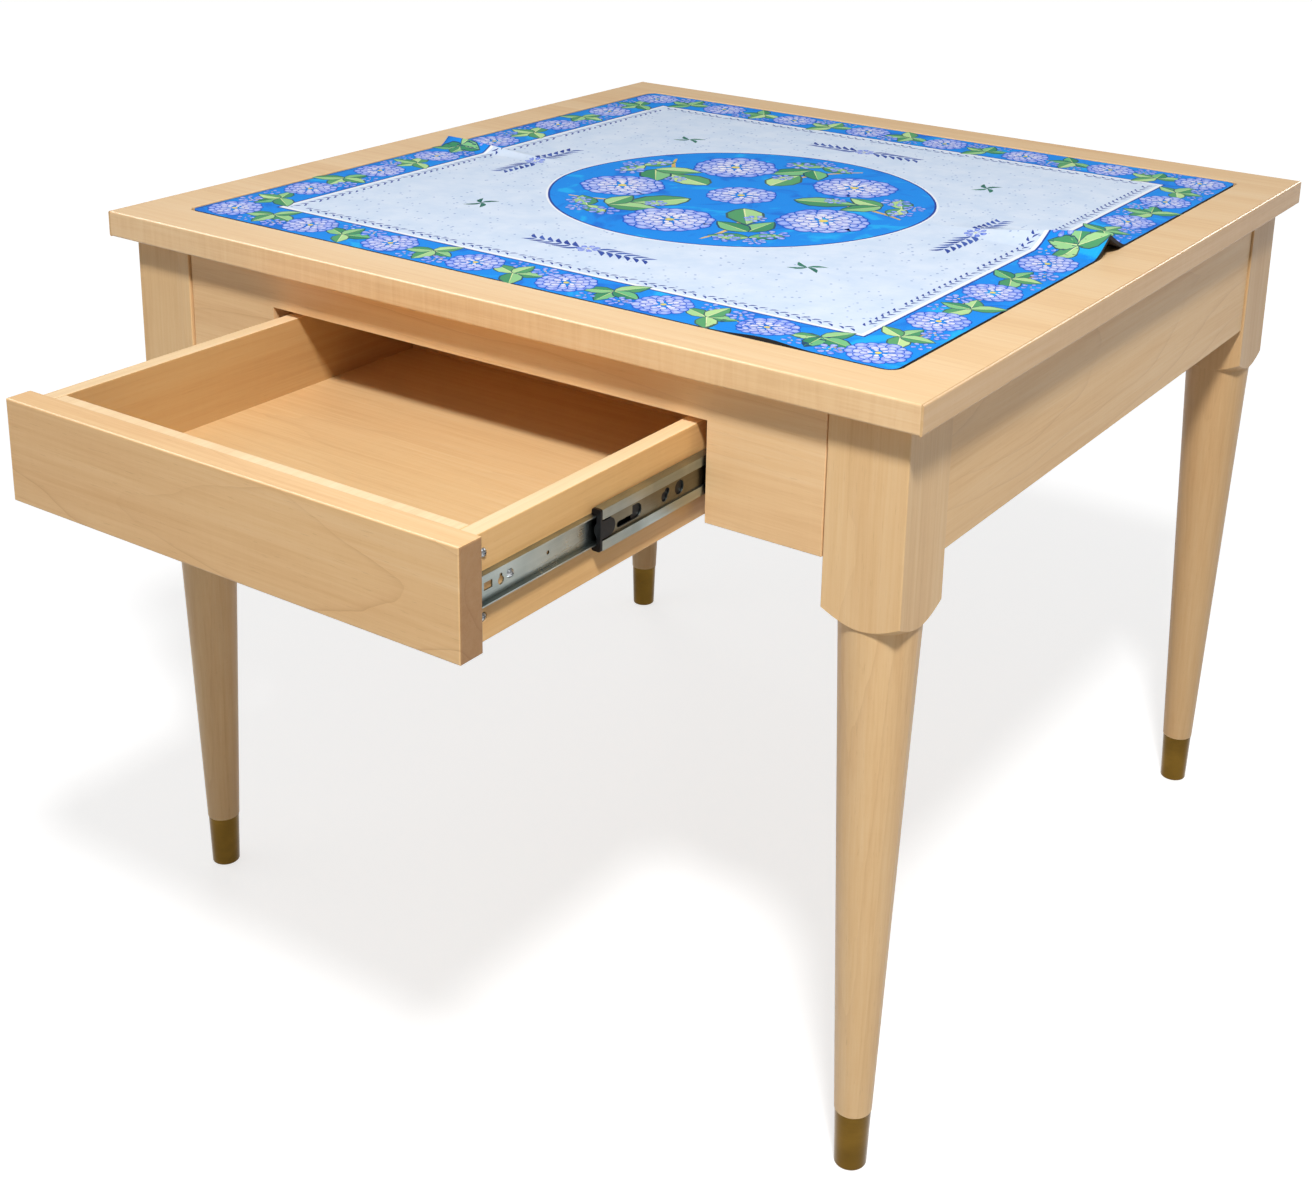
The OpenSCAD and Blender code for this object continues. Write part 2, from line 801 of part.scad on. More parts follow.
// Inner channel, screwed to the drawer's side and open towards the rail
module drawer_screws(gap = 0, head = true) {
    for (y = drawer_screw_y)
        translate([opening_w / 2 - slide_t + sheet_t, inner_front + y, slide_z])
            rotate([0, -90, 0]) screw(l = 13, gap = gap, head = head);
}

module slide_inner(side) {
    color(zinc) on_side(side)
        difference() {
            slide_section(inner_front, slide_l) channel(slide_t, inner_x, inner_h, sheet_t);
            drawer_screws(fit_gap, false);
            lever_rivet(fit_gap, over);
            translate([opening_w / 2 - slide_t - over, inner_front, slide_z])
                inner_cuts(sheet_t + 2 * over);
        }
}

module inner_cuts(depth) {
    translate([0, tab_hole[0], -tab_hole[2] / 2]) cube([depth, tab_hole[1], tab_hole[2]]);
    web_hole(inner_keyhole_y, -inner_hole_r, 2 * inner_hole_r, depth);
    web_hole(inner_keyhole_y, 1.5 * inner_hole_r, inner_hole_r, depth);
    for (y = inner_hole_y)
        web_hole(y, 0, inner_hole_r, depth);
}

module left_slide_inner() { slide_inner(-1); }
module right_slide_inner() { slide_inner(1); }

module slide_drawer_screws() {
    color(zinc)
        for (side = [-1, 1])
            on_side(side) drawer_screws();
}

// Ball cages and their balls. x0 is the cage's back, ball_z and ball_x the balls' row.
module cage(front, l, x0, ball_x, ball_z) {
    difference() {
        slide_section(front, l) channel(x0, ball_x + 1, 2 * ball_z + cage_t, cage_t);
        balls(front, l, ball_x, ball_z, 0.1);
    }
}

module balls(front, l, ball_x, ball_z, gap = 0) {
    step = (l - 20) / (balls_per_row - 1);
    for (i = [0 : balls_per_row - 1], s = [-1, 1])
        translate([opening_w / 2 - ball_x, front + 10 + i * step, slide_z + s * ball_z])
            sphere(ball_r + gap);
}

module outer_cage(side) {
    color(zinc) on_side(side)
        cage(outer_cage_at, outer_cage_l, outer_cage_x, outer_ball_x, outer_ball_z);
}

module inner_cage(side) {
    color(black) on_side(side)
        cage(inner_cage_at, inner_cage_l, inner_cage_x, inner_ball_x, inner_ball_z);
}

module left_outer_cage() { outer_cage(-1); }
module right_outer_cage() { outer_cage(1); }
module left_inner_cage() { inner_cage(-1); }
module right_inner_cage() { inner_cage(1); }

module outer_balls(side) {
    color(zinc) on_side(side) balls(outer_cage_at, outer_cage_l, outer_ball_x, outer_ball_z);
}

module inner_balls(side) {
    color(zinc) on_side(side) balls(inner_cage_at, inner_cage_l, inner_ball_x, inner_ball_z);
}

module left_outer_balls() { outer_balls(-1); }
module right_outer_balls() { outer_balls(1); }
module left_inner_balls() { inner_balls(-1); }
module right_inner_balls() { inner_balls(1); }

// Release lever: a black strip that turns on a rivet in the inner channel
module lever_rivet(gap = 0, back = 0) {
    translate([lever_x - sheet_t - back, inner_front + lever_start, slide_z])
        rotate([0, 90, 0])
            cylinder(r = pivot_r + gap, h = back + sheet_t + run_gap + lever_t + run_gap);
}

module release_lever(side) {
    color(black) on_side(side)
        translate([lever_x + run_gap, inner_front + lever_start, slide_z])
            rotate([0, 90, 0])
                difference() {
                    union() {
                        cylinder(r = lever_h / 2, h = lever_t);
                        translate([-lever_h / 2, 0, 0]) cube([lever_h, lever_l, lever_t]);
                        translate([0, lever_l, 0]) cylinder(r = lever_h / 2 + 1, h = lever_t);
                    }
                    translate([0, 0, -over]) cylinder(r = pivot_r + fit_gap, h = lever_t + 2 * over);
                }
}

module left_release_lever() { release_lever(-1); }
module right_release_lever() { release_lever(1); }

module lever_rivets() {
    color(zinc)
        for (side = [-1, 1])
            on_side(side) lever_rivet();
}

// Drawer front, with the box screwed to its back
module front_screws(gap = 0, head = true) {
    for (sx = [-1, 1], z = [box_z + 24, box_z + box_h - 18])
        translate([sx * box_in_w / 3, front_back + box_t, z])
            rotate([90, 0, 0]) screw(l = box_t + 14, gap = gap, head = head);
}

module drawer_front() {
    color(wood)
        difference() {
            board([-front_w / 2, front_back - front_t, front_z], [front_w, front_t, front_h], front_ease);
            front_screws(fit_gap, false);
        }
}

module drawer_front_screws() {
    color(zinc) front_screws();
}

// Bottom panel, seated in grooves in the four boards
module bottom_panel(gap = 0) {
    l = box_l - 2 * box_t + 2 * groove_d;
    w = box_in_w + 2 * groove_d;
    translate([-w / 2, front_back + box_t - groove_d, bottom_z] - [gap, gap, gap])
        cube([w, l, bottom_t] + 2 * [gap, gap, gap]);
}

module corner_screws(gap = 0, head = true) {
    for (sx = [-1, 1], y = corner_screw_y, place = corner_screw_places)
        on_side(sx) translate([box_w / 2 - place[1], front_back + y, box_z + place[0]])
            rotate([0, -90, 0]) {
                screw(l = box_t + 16, gap = gap, head = head);
                if (!head)
                    translate([0, 0, -head_h]) cylinder(r = head_r + gap, h = head_h);
            }
}

module box_cuts() {
    bottom_panel(fit_gap);
    corner_screws(fit_gap, false);
    for (side = [-1, 1])
        on_side(side) drawer_screws(fit_gap, false);
}

module box_side(side) {
    color(box_wood)
        difference() {
            on_side(side)
                board([box_w / 2 - box_t, front_back, box_z], [box_t, box_l, box_h], board_ease);
            box_cuts();
        }
}

module left_box_side() { box_side(-1); }
module right_box_side() { box_side(1); }

module box_front() {
    color(box_wood)
        difference() {
            board([-box_in_w / 2, front_back, box_z], [box_in_w, box_t, box_h], board_ease);
            box_cuts();
            front_screws(fit_gap, false);
        }
}

module box_back() {
    color(box_wood)
        difference() {
            board([-box_in_w / 2, front_back + box_l - box_t, box_z], [box_in_w, box_t, box_h], board_ease);
            box_cuts();
        }
}

module box_bottom() {
    color(box_wood) bottom_panel();
}

module box_corner_screws() {
    color(zinc) corner_screws();
}

tabletop();
front_edge_band();
back_edge_band();
left_edge_band();
right_edge_band();
playing_mat();
front_apron();
back_apron();
left_apron();
right_apron();
front_left_leg();
front_right_leg();
back_left_leg();
back_right_leg();
front_left_ferrule();
front_right_ferrule();
back_left_ferrule();
back_right_ferrule();
corner_plates();
hanger_bolts();
hanger_washers();
hanger_nuts();
corner_plate_screws();
angle_brackets();
angle_bracket_screws();
left_slide_rail();
right_slide_rail();
left_slide_outer();
right_slide_outer();
slide_rail_screws();
left_slide_middle();
right_slide_middle();
left_slide_bumper();
right_slide_bumper();
left_slide_inner();
right_slide_inner();
slide_drawer_screws();
left_outer_cage();
right_outer_cage();
left_inner_cage();
right_inner_cage();
left_outer_balls();
right_outer_balls();
left_inner_balls();
right_inner_balls();
left_release_lever();
right_release_lever();
lever_rivets();
drawer_front();
box_front();
box_back();
left_box_side();
right_box_side();
box_bottom();
box_corner_screws();
drawer_front_screws();
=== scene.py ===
import math
import random

import bpy
import numpy as np
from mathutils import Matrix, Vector


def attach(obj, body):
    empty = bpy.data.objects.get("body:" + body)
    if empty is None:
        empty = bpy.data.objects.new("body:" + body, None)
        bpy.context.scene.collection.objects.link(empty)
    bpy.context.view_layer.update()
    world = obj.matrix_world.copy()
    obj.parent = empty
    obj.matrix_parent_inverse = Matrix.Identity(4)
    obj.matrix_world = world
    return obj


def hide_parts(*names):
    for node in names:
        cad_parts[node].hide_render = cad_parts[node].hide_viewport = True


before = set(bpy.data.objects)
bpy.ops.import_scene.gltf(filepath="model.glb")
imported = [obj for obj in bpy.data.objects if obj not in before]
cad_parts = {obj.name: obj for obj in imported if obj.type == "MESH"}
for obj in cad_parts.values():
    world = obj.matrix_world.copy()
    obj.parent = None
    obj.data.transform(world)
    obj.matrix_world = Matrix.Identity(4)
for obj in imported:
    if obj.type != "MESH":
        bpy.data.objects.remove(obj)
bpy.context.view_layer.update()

# Lengths are metres in the frame of the solid model: X along the drawer front, Y to the back, Z up


def linear(rgb):
    # Linear colour of an sRGB colour given as 0 to 255
    parts = [c / 255 for c in rgb]
    return tuple(p / 12.92 if p <= 0.04045 else ((p + 0.055) / 1.055) ** 2.4 for p in parts) + (1.0,)


class NodeTree:
    # A node tree with short calls for the nodes that this scene uses
    def __init__(self, tree):
        self.tree = tree

    def add(self, kind, inputs=None, **settings):
        node = self.tree.nodes.new(kind)
        for name, value in settings.items():
            setattr(node, name, value)
        for name, value in (inputs or {}).items():
            self.feed(node, name, value)
        return node

    def feed(self, node, name, value):
        socket = node.inputs[name]
        if isinstance(value, bpy.types.NodeSocket):
            self.tree.links.new(value, socket)
        else:
            socket.default_value = value

    def math(self, operation, a, b=None, c=None):
        values = {i: v for i, v in enumerate((a, b, c)) if v is not None}
        return self.add("ShaderNodeMath", values, operation=operation).outputs[0]

    def ramp(self, value, stops):
        node = self.add("ShaderNodeValToRGB", {"Fac": value})
        elements = node.color_ramp.elements
        while len(elements) < len(stops):
            elements.new(0.5)
        for element, (place, colour) in zip(elements, stops):
            element.position = place
            element.color = linear(colour)
        return node.outputs["Color"]

    def mix(self, factor, a, b):
        node = self.add("ShaderNodeMix", data_type="RGBA")
        for index, value in ((0, factor), (6, a), (7, b)):
            self.feed(node, index, value)
        return node.outputs[2]

    def range(self, value, low, high, toLow=0.0, toHigh=1.0):
        return self.add("ShaderNodeMapRange", {
            "Value": value, "From Min": low, "From Max": high, "To Min": toLow, "To Max": toHigh}).outputs[0]

    def noise(self, place, scale, detail):
        inputs = {"Vector": place, "Scale": scale, "Detail": detail}
        return self.add("ShaderNodeTexNoise", inputs).outputs["Fac"]

    def length(self, vector):
        return self.add("ShaderNodeVectorMath", {0: vector}, operation="LENGTH").outputs["Value"]

    def group(self, group, inputs):
        return self.add("ShaderNodeGroup", inputs, node_tree=group).outputs

    def objectPlace(self):
        return self.add("ShaderNodeTexCoord").outputs["Object"]


def newGroup(name, inputs, outputs):
    # A shader node group with its sockets: the tree, the given values and the made ones
    tree = bpy.data.node_groups.new(name, "ShaderNodeTree")
    for socketName, kind, default in inputs:
        socket = tree.interface.new_socket(name=socketName, in_out="INPUT", socket_type="NodeSocket" + kind)
        if default is not None:
            socket.default_value = default
    for socketName in outputs:
        tree.interface.new_socket(name=socketName, in_out="OUTPUT", socket_type="NodeSocketFloat")
    g = NodeTree(tree)
    return g, g.add("NodeGroupInput").outputs, g.add("NodeGroupOutput")


# Noises of the grain: scale along the fibre and twice across it, detail, roughness and distortion
grainNoises = {
    "sway": ((2.6, 7.0, 7.0), 2.0, 0.45, 0.0),
    "waver": ((16.0, 60.0, 60.0), 2.0, 0.5, 0.0),
    "patches": ((3.0, 26.0, 26.0), 2.0, 0.5, 0.0),
    "broad": ((1.6, 16.0, 16.0), 2.0, 0.5, 0.5),
    "streak": ((5.0, 170.0, 170.0), 3.0, 0.6, 0.0),
    "fine": ((16.0, 620.0, 620.0), 2.0, 0.5, 0.0),
    "curl": ((95.0, 9.0, 9.0), 3.0, 0.62, 1.4),
    "fleck": ((75.0, 1300.0, 1300.0), 1.0, 0.5, 0.0),
}
# What each noise adds to the tone and to the height of the surface
toneShares = {"broad": 0.46, "streak": 0.34, "fine": 0.20}
heightShares = {"streak": 0.5, "fine": 0.6, "fleck": -0.5}
# The part of a noise that counts, from low to high, and what its ends become where that isn't 0 and 1
grainRanges = {"patches": (0.38, 0.66, 0.15, 1.0), "tone": (0.34, 0.66), "fleck": (0.66, 0.76)}
waverDepth = 0.0035


def makeGrainGroup():
    # Maple as a solid: growth rings round a pith that lies along X, fibre, flecks and cross-grain curl
    g, given, made = newGroup("mapleGrain", [
        ("Vector", "Vector", None), ("Pith", "Vector", None), ("Bend", "Float", 0.02),
        ("Rings", "Float", 120.0), ("Sway", "Float", 0.03), ("Thin", "Float", 6.0), ("Seed", "Float", 0.0),
        ("Curl", "Float", 0.05),
    ], ["Tone", "Ring", "Fleck", "Height"])

    def noise(part):
        scale, detail, rough, distort = grainNoises[part]
        stretched = g.add("ShaderNodeMapping", {"Vector": given["Vector"], "Scale": scale}).outputs[0]
        return g.add("ShaderNodeTexNoise", {
            "Vector": stretched, "W": given["Seed"], "Scale": 1.0, "Detail": detail, "Roughness": rough,
            "Distortion": distort}, noise_dimensions="4D").outputs["Fac"]

    moved = g.add("ShaderNodeVectorMath", {0: given["Vector"], 1: given["Pith"]}, operation="SUBTRACT")
    parts = g.add("ShaderNodeSeparateXYZ", {"Vector": moved.outputs[0]}).outputs
    radius = g.length(g.add("ShaderNodeCombineXYZ", {"Y": parts["Y"], "Z": parts["Z"]}).outputs[0])
    sway = g.math("MULTIPLY", noise("sway"), given["Sway"])
    waver = g.math("MULTIPLY_ADD", noise("waver"), waverDepth, sway)
    slope = g.math("MULTIPLY_ADD", g.math("ABSOLUTE", parts["X"]), given["Bend"], waver)
    turns = g.math("MULTIPLY", g.math("ADD", radius, slope), given["Rings"])
    ring = g.math("POWER", g.math("FRACT", turns), given["Thin"])
    # A ring shows more in some stretches than in others
    g.feed(made, "Ring", g.math("MULTIPLY", ring, g.range(noise("patches"), *grainRanges["patches"])))

    broad, streak, fine, curl = (noise(part) for part in ("broad", "streak", "fine", "curl"))
    tone = g.math("MULTIPLY", streak, toneShares["streak"])
    tone = g.math("MULTIPLY_ADD", broad, toneShares["broad"], tone)
    tone = g.math("MULTIPLY_ADD", fine, toneShares["fine"], tone)
    tone = g.math("MULTIPLY_ADD", g.math("SUBTRACT", curl, 0.5), given["Curl"], tone)
    g.feed(made, "Tone", g.range(tone, *grainRanges["tone"]))
    fleck = g.range(noise("fleck"), *grainRanges["fleck"])
    g.feed(made, "Fleck", fleck)
    height = g.math("MULTIPLY", fleck, heightShares["fleck"])
    height = g.math("MULTIPLY_ADD", fine, heightShares["fine"], height)
    g.feed(made, "Height", g.math("MULTIPLY_ADD", streak, heightShares["streak"], height))
    return g.tree


smudgeSpec = {"scale": 22.0, "range": (0.34, 0.66)}


def makeWearGroup():
    # Soft smudges and drawn lines for metal
    g, given, made = newGroup("metalWear", [
        ("Vector", "Vector", None), ("Stretch", "Vector", (1.0, 1.0, 1.0)), ("Seed", "Float", 0.0),
    ], ["Smudge", "Line"])
    smudge = g.add("ShaderNodeTexNoise", {
        "Vector": given["Vector"], "W": given["Seed"], "Scale": smudgeSpec["scale"], "Detail": 3.0,
        "Roughness": 0.5}, noise_dimensions="4D")
    stretched = g.add("ShaderNodeVectorMath", {0: given["Vector"], 1: given["Stretch"]}, operation="MULTIPLY")
    g.feed(made, "Smudge", g.range(smudge.outputs["Fac"], *smudgeSpec["range"]))
    g.feed(made, "Line", g.noise(stretched.outputs[0], 1.0, 2.0))
    return g.tree


knitSpec = {"yarnScale": 190.0, "yarnSway": 0.4, "fibreScale": 700.0, "fibreHeight": 0.5, "range": (0.3, 0.7)}


def makeWeaveGroup():
    # Fine knit of a printed cloth
    g, given, made = newGroup("clothWeave", [("Vector", "Vector", None)], ["Height", "Fibre"])
    yarn = {
        "Vector": given["Vector"], "Scale": knitSpec["yarnScale"], "Distortion": knitSpec["yarnSway"],
        "Detail": 1.0}
    rows = [g.add("ShaderNodeTexWave", yarn, bands_direction=way).outputs["Fac"] for way in ("X", "Y")]
    fibre = g.add("ShaderNodeTexNoise", {
        "Vector": given["Vector"], "Scale": knitSpec["fibreScale"], "Detail": 2.0, "Roughness": 0.7})
    fibre = fibre.outputs["Fac"]
    knit = g.math("MULTIPLY", rows[0], rows[1])
    g.feed(made, "Height", g.math("MULTIPLY_ADD", fibre, knitSpec["fibreHeight"], knit))
    g.feed(made, "Fibre", g.range(fibre, *knitSpec["range"]))
    return g.tree


grainGroup = makeGrainGroup()
wearGroup = makeWearGroup()
weaveGroup = makeWeaveGroup()
print("stage: node groups")


def newMaterial(name):
    material = bpy.data.materials.new(name)
    material.use_nodes = True
    return material, NodeTree(material.node_tree), material.node_tree.nodes["Principled BSDF"]


def bump(tree, shader, height, distance, strength):
    node = tree.add("ShaderNodeBump", {"Height": height, "Distance": distance, "Strength": strength})
    tree.feed(shader, "Normal", node.outputs[0])


def nodeBox(node):
    # Lowest and highest corner of a piece of the solid model, to a hundredth of a millimetre
    points = np.array([vertex.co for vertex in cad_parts[node].data.vertices], dtype=float)
    return points.min(0).round(5).tolist(), points.max(0).round(5).tolist()


facing = 0.7  # a face whose normal has more than this along an axis looks that way


def looksUp(polygon):
    return polygon.normal.z > facing


def looksRight(polygon):
    return polygon.normal.x > facing


def paint(node, material, second=None, chosen=looksUp):
    # second is the material of the chosen faces, where it differs
    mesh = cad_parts[node].data
    mesh.materials.clear()
    mesh.materials.append(material)
    if second:
        mesh.materials.append(second)
    for polygon in mesh.polygons:
        polygon.material_index = 1 if second and chosen(polygon) else 0


# Roughness is that of the darkest and of the palest grain
lacquer = {
    "pale": (250, 217, 172), "mid": (244, 206, 156), "deep": (233, 190, 139), "ring": (190, 132, 82),
    "fleck": (176, 128, 84), "roughness": (0.48, 0.37), "specular": 0.3, "coat": 0.10, "coatRoughness": 0.2,
    "poreDepth": 0.0001, "poreStrength": 0.3,
}
# Turns that bring the grain's own axis onto X, and what each does to a point
grainTurns = {"x": (0, 0, 0), "y": (0, 0, -math.pi / 2), "z": (0, math.pi / 2, 0)}
pointTurns = {"x": lambda p: p, "y": lambda p: (p[1], -p[0], p[2]), "z": lambda p: (p[2], p[1], -p[0])}


def makeMaple(name, axis, seed, pith, tint=(1, 1, 1), bend=0.02, rings=120.0, ringShow=0.20, sway=0.03,
              thin=6.0, curl=0.05, fleck=0.16, coat=lacquer["coat"]):
    # Maple under clear lacquer. pith is a point of the ring centre's line, in the table's frame.
    material, tree, shader = newMaterial(name)
    turned = tree.add("ShaderNodeMapping", {"Vector": tree.objectPlace(), "Rotation": grainTurns[axis]})
    grain = tree.group(grainGroup, {
        "Vector": turned.outputs[0], "Pith": pointTurns[axis](pith), "Bend": bend, "Rings": rings,
        "Sway": sway, "Thin": thin, "Seed": seed, "Curl": curl})
    deep, mid, pale, ringShade, fleckShade = (
        tuple(c * t for c, t in zip(lacquer[key], tint)) for key in ("deep", "mid", "pale", "ring", "fleck"))
    colour = tree.ramp(grain["Tone"], [(0.0, deep), (0.5, mid), (1.0, pale)])
    colour = tree.mix(tree.math("MULTIPLY", grain["Ring"], ringShow), colour, linear(ringShade))
    colour = tree.mix(tree.math("MULTIPLY", grain["Fleck"], fleck), colour, linear(fleckShade))
    tree.feed(shader, "Base Color", colour)
    tree.feed(shader, "Roughness", tree.range(grain["Tone"], 0, 1, *lacquer["roughness"]))
    shader.inputs["Specular IOR Level"].default_value = lacquer["specular"]
    shader.inputs["Coat Weight"].default_value = coat
    shader.inputs["Coat Roughness"].default_value = lacquer["coatRoughness"]
    bump(tree, shader, grain["Height"], lacquer["poreDepth"], lacquer["poreStrength"])
    return material


# Wear of every metal, and painted shade: a dark painted shade is full where the surface is closed in, and
# gone where it is open.
wearAndShadeSpec = {
    "lines": 0.35, "smudges": 0.65, "paintedShade": (0.004, 0.004, 0.004, 1), "paintedShadeRange": (0.16, 0.62),
    "smoother": 0.04, "rougher": 0.06, "lineDepth": 0.00002, "lineStrength": 0.4,
}


def makeMetal(name, spec, seed=0.0):
    # spec may give the reach, in metres, of the painted shade that darkens holes and corners
    material, tree, shader = newMaterial(name)
    wear = tree.group(wearGroup, {"Vector": tree.objectPlace(), "Stretch": spec["stretch"], "Seed": seed})
    smudges = tree.math("MULTIPLY", wear["Smudge"], wearAndShadeSpec["smudges"])
    shade = tree.math("MULTIPLY_ADD", wear["Line"], wearAndShadeSpec["lines"], smudges)
    colour = tree.mix(shade, linear(spec["bright"]), linear(spec["dull"]))
    if "shadeReach" in spec:
        # Painted shade: ambient occlusion darkens the colour in holes and corners
        hollow = tree.add("ShaderNodeAmbientOcclusion", {"Distance": spec["shadeReach"]}, samples=6)
        openness = tree.range(hollow.outputs["AO"], *wearAndShadeSpec["paintedShadeRange"])
        colour = tree.mix(openness, wearAndShadeSpec["paintedShade"], colour)
    tree.feed(shader, "Base Color", colour)
    low, high = spec["roughness"] - wearAndShadeSpec["smoother"], spec["roughness"] + wearAndShadeSpec["rougher"]
    tree.feed(shader, "Roughness", tree.range(shade, 0.2, 0.8, low, high))
    shader.inputs["Metallic"].default_value = 1.0
    bump(tree, shader, wear["Line"], wearAndShadeSpec["lineDepth"], wearAndShadeSpec["lineStrength"])
    return material


def makePlastic(name, spec):
    material, tree, shader = newMaterial(name)
    place = tree.objectPlace()
    shade = tree.noise(place, spec["shadeScale"], 2.0)
    tree.feed(shader, "Base Color", tree.mix(shade, linear(spec["dark"]), linear(spec["light"])))
    tree.feed(shader, "Roughness", tree.range(shade, 0.3, 0.7, *spec["roughness"]))
    shader.inputs["Specular IOR Level"].default_value = spec["specular"]
    bump(tree, shader, tree.noise(place, spec["gritScale"], 2.0), spec["gritDepth"], spec["gritStrength"])
    return material


# Tabletop: long straight grain
topSpec = {"tint": (1.0, 1.0, 1.0), "bend": 0.012, "rings": 75, "ringShow": 0.07, "curl": 0.03, "fleck": 0.08}
paint("tabletop", makeMaple("topMaple", "x", 1.3, (0.2, 0.35, 1.1), **topSpec))

# Edge bands: curly figure across the front and back ones; the side bands are darker, painted shade
bandSpec = {"pith": (0.1, 0.2, 1.0), "bend": 0.01, "ringShow": 0.06, "fleck": 0.08, "coat": 0.25}
longBand = {"axis": "x", "curl": 0.30, "tint": (1.0, 1.0, 1.0)}
# The side bands' darker tint is painted shade
sideBandShaded = {"axis": "y", "curl": 0.12, "tint": (0.91, 0.875, 0.82)}
for side, seed, spec in (
        ("front", 4.1, longBand), ("back", 9.2, longBand),
        ("left", 14.6, sideBandShaded), ("right", 19.9, sideBandShaded)):
    paint(side + "_edge_band", makeMaple(side + "BandMaple", seed=seed, **spec, **bandSpec))

# Aprons: a little pinker than the top
apronSpec = {"bend": 0.03, "rings": 70, "ringShow": 0.28, "sway": 0.05, "thin": 16, "curl": 0.05}
longApron = {"axis": "x", "tint": (1.0, 0.985, 0.965)}
sideApron = {"axis": "y", "tint": (0.98, 0.95, 0.88)}
for side, seed, pith, spec in (
        ("front", 6.1, (-0.1, -0.34, 0.60), longApron), ("back", 11.2, (0.1, 0.34, 0.60), longApron),
        ("left", 16.6, (-0.34, 0.1, 0.62), sideApron), ("right", 21.9, (0.33, -0.2, 0.70), sideApron)):
    paint(side + "_apron", makeMaple(side + "ApronMaple", seed=seed, pith=pith, **spec, **apronSpec))

# Legs and ferrules: the back right leg is darker, painted shade
legSpec = {
    "axis": "z", "bend": 0.006, "rings": 110, "ringShow": 0.16, "sway": 0.02, "curl": 0.04, "fleck": 0.2,
}
# The back right leg's darker tint is painted shade
legTintsAndShade = {"back_right": (0.89, 0.86, 0.81), "other": (0.965, 0.95, 0.915)}
legPith = {"x": 0.44, "y": 0.18, "z": 0.3}
legSeed = {"first": 31, "step": 5.7, "ferruleStep": 3.0}
brassSpec = {
    "bright": (120, 92, 38), "dull": (86, 64, 25), "roughness": 0.22, "stretch": (40.0, 40.0, 2200.0),
}
for index, (corner, x, y) in enumerate((
        ("front_left", -1, -1), ("front_right", 1, -1), ("back_left", -1, 1), ("back_right", 1, 1))):
    paint(corner + "_leg", makeMaple(
        corner + "LegMaple", seed=legSeed["first"] + legSeed["step"] * index,
        pith=(x * legPith["x"], y * legPith["y"], legPith["z"]),
        tint=legTintsAndShade.get(corner, legTintsAndShade["other"]), **legSpec))
    paint(corner + "_ferrule", makeMetal(corner + "Brass", brassSpec, seed=legSeed["ferruleStep"] * index))

# Drawer front: plain-sawn, a few thin arched lines; its right end face darker, partly end grain and partly
# painted shade
drawerSpec = {
    "axis": "x", "seed": 55.5, "pith": (0.07, -0.68, 0.648), "bend": 0.085, "rings": 46, "ringShow": 0.42,
    "sway": 0.10, "thin": 20, "curl": 0.05, "fleck": 0.25,
}
# The end tint is darker as end grain and as painted shade
drawerTintsAndShade = {"front": (0.975, 0.945, 0.89), "end": (0.70, 0.63, 0.56)}
frontWood = makeMaple("drawerFrontMaple", tint=drawerTintsAndShade["front"], **drawerSpec)
endGrainAndShade = makeMaple("drawerEndGrainAndShadeMaple", tint=drawerTintsAndShade["end"], **drawerSpec)
paint("drawer_front", frontWood, endGrainAndShade, looksRight)

# Drawer box and slide rails: yellower; their upper faces paler as painted light, and the left side board
# darker as painted shade
boxSpec = {"ringShow": 0.12, "curl": 0.06}
boxSeed = {"first": 70, "step": 6.3}
# The left side board's darker tint is painted shade on its inner face
boxTintsAndPaintedLight = {
    "edge": (1.02, 1.05, 1.08), "box_bottom": (0.95, 0.94, 0.90), "left_box_side": (0.81, 0.765, 0.67),
    "other": (0.95, 0.90, 0.79),
}
# Upper faces of the box and rails: paler, painted light
boxTopPaintedLight = makeMaple(
    "boxTopPaintedLightMaple", "y", 66, (0, 0, 0.2), tint=boxTintsAndPaintedLight["edge"], ringShow=0.05, curl=0.02, fleck=0.1)
for index, (name, axis, pith) in enumerate((
        ("box_front", "x", (0.1, -0.72, 0.3)), ("box_back", "x", (0.1, -0.2, 0.3)),
        ("left_box_side", "y", (-0.2, -0.5, 0.4)), ("right_box_side", "y", (0.2, -0.5, 0.4)),
        ("box_bottom", "x", (0.1, -0.5, 0.5)), ("left_slide_rail", "y", (-0.3, 0, 0.4)),
        ("right_slide_rail", "y", (0.3, 0, 0.4)))):
    seed, tint = boxSeed["first"] + boxSeed["step"] * index, boxTintsAndPaintedLight.get(name, boxTintsAndPaintedLight["other"])
    maple = makeMaple("boxMaple" + str(index), axis, seed, pith, tint=tint, **boxSpec)
    paint(name, maple, None if name == "box_bottom" else boxTopPaintedLight)
print("stage: wood and brass")

# Slides: zinc with drawn lines; the sunk web of the middle channels is a darker, browner copy of the zinc,
# painted shade, and holes and corners get painted shade too
slideSpec = {
    "bright": (192, 201, 199), "dull": (138, 150, 148), "roughness": 0.31, "stretch": (700.0, 6.0, 700.0),
    "shadeReach": 0.011,
}
# The web's zinc, darker and browner: painted shade in the sunk web between the rims
webShadeSpec = {**slideSpec, "bright": (150, 146, 128), "dull": (104, 100, 84)}
slideLow, slideHigh = nodeBox("left_slide_middle")
webPlace = {"middle": (slideLow[2] + slideHigh[2]) / 2, "half": 0.0095}
rolledZinc = makeMetal("rolledZinc", slideSpec)
webZincShaded = makeMetal("webZincShaded", webShadeSpec)


def inWeb(polygon):
    # The sunk web of a middle channel, between its two proud rims
    return abs(polygon.normal.x) > facing and abs(polygon.center.z - webPlace["middle"]) < webPlace["half"]


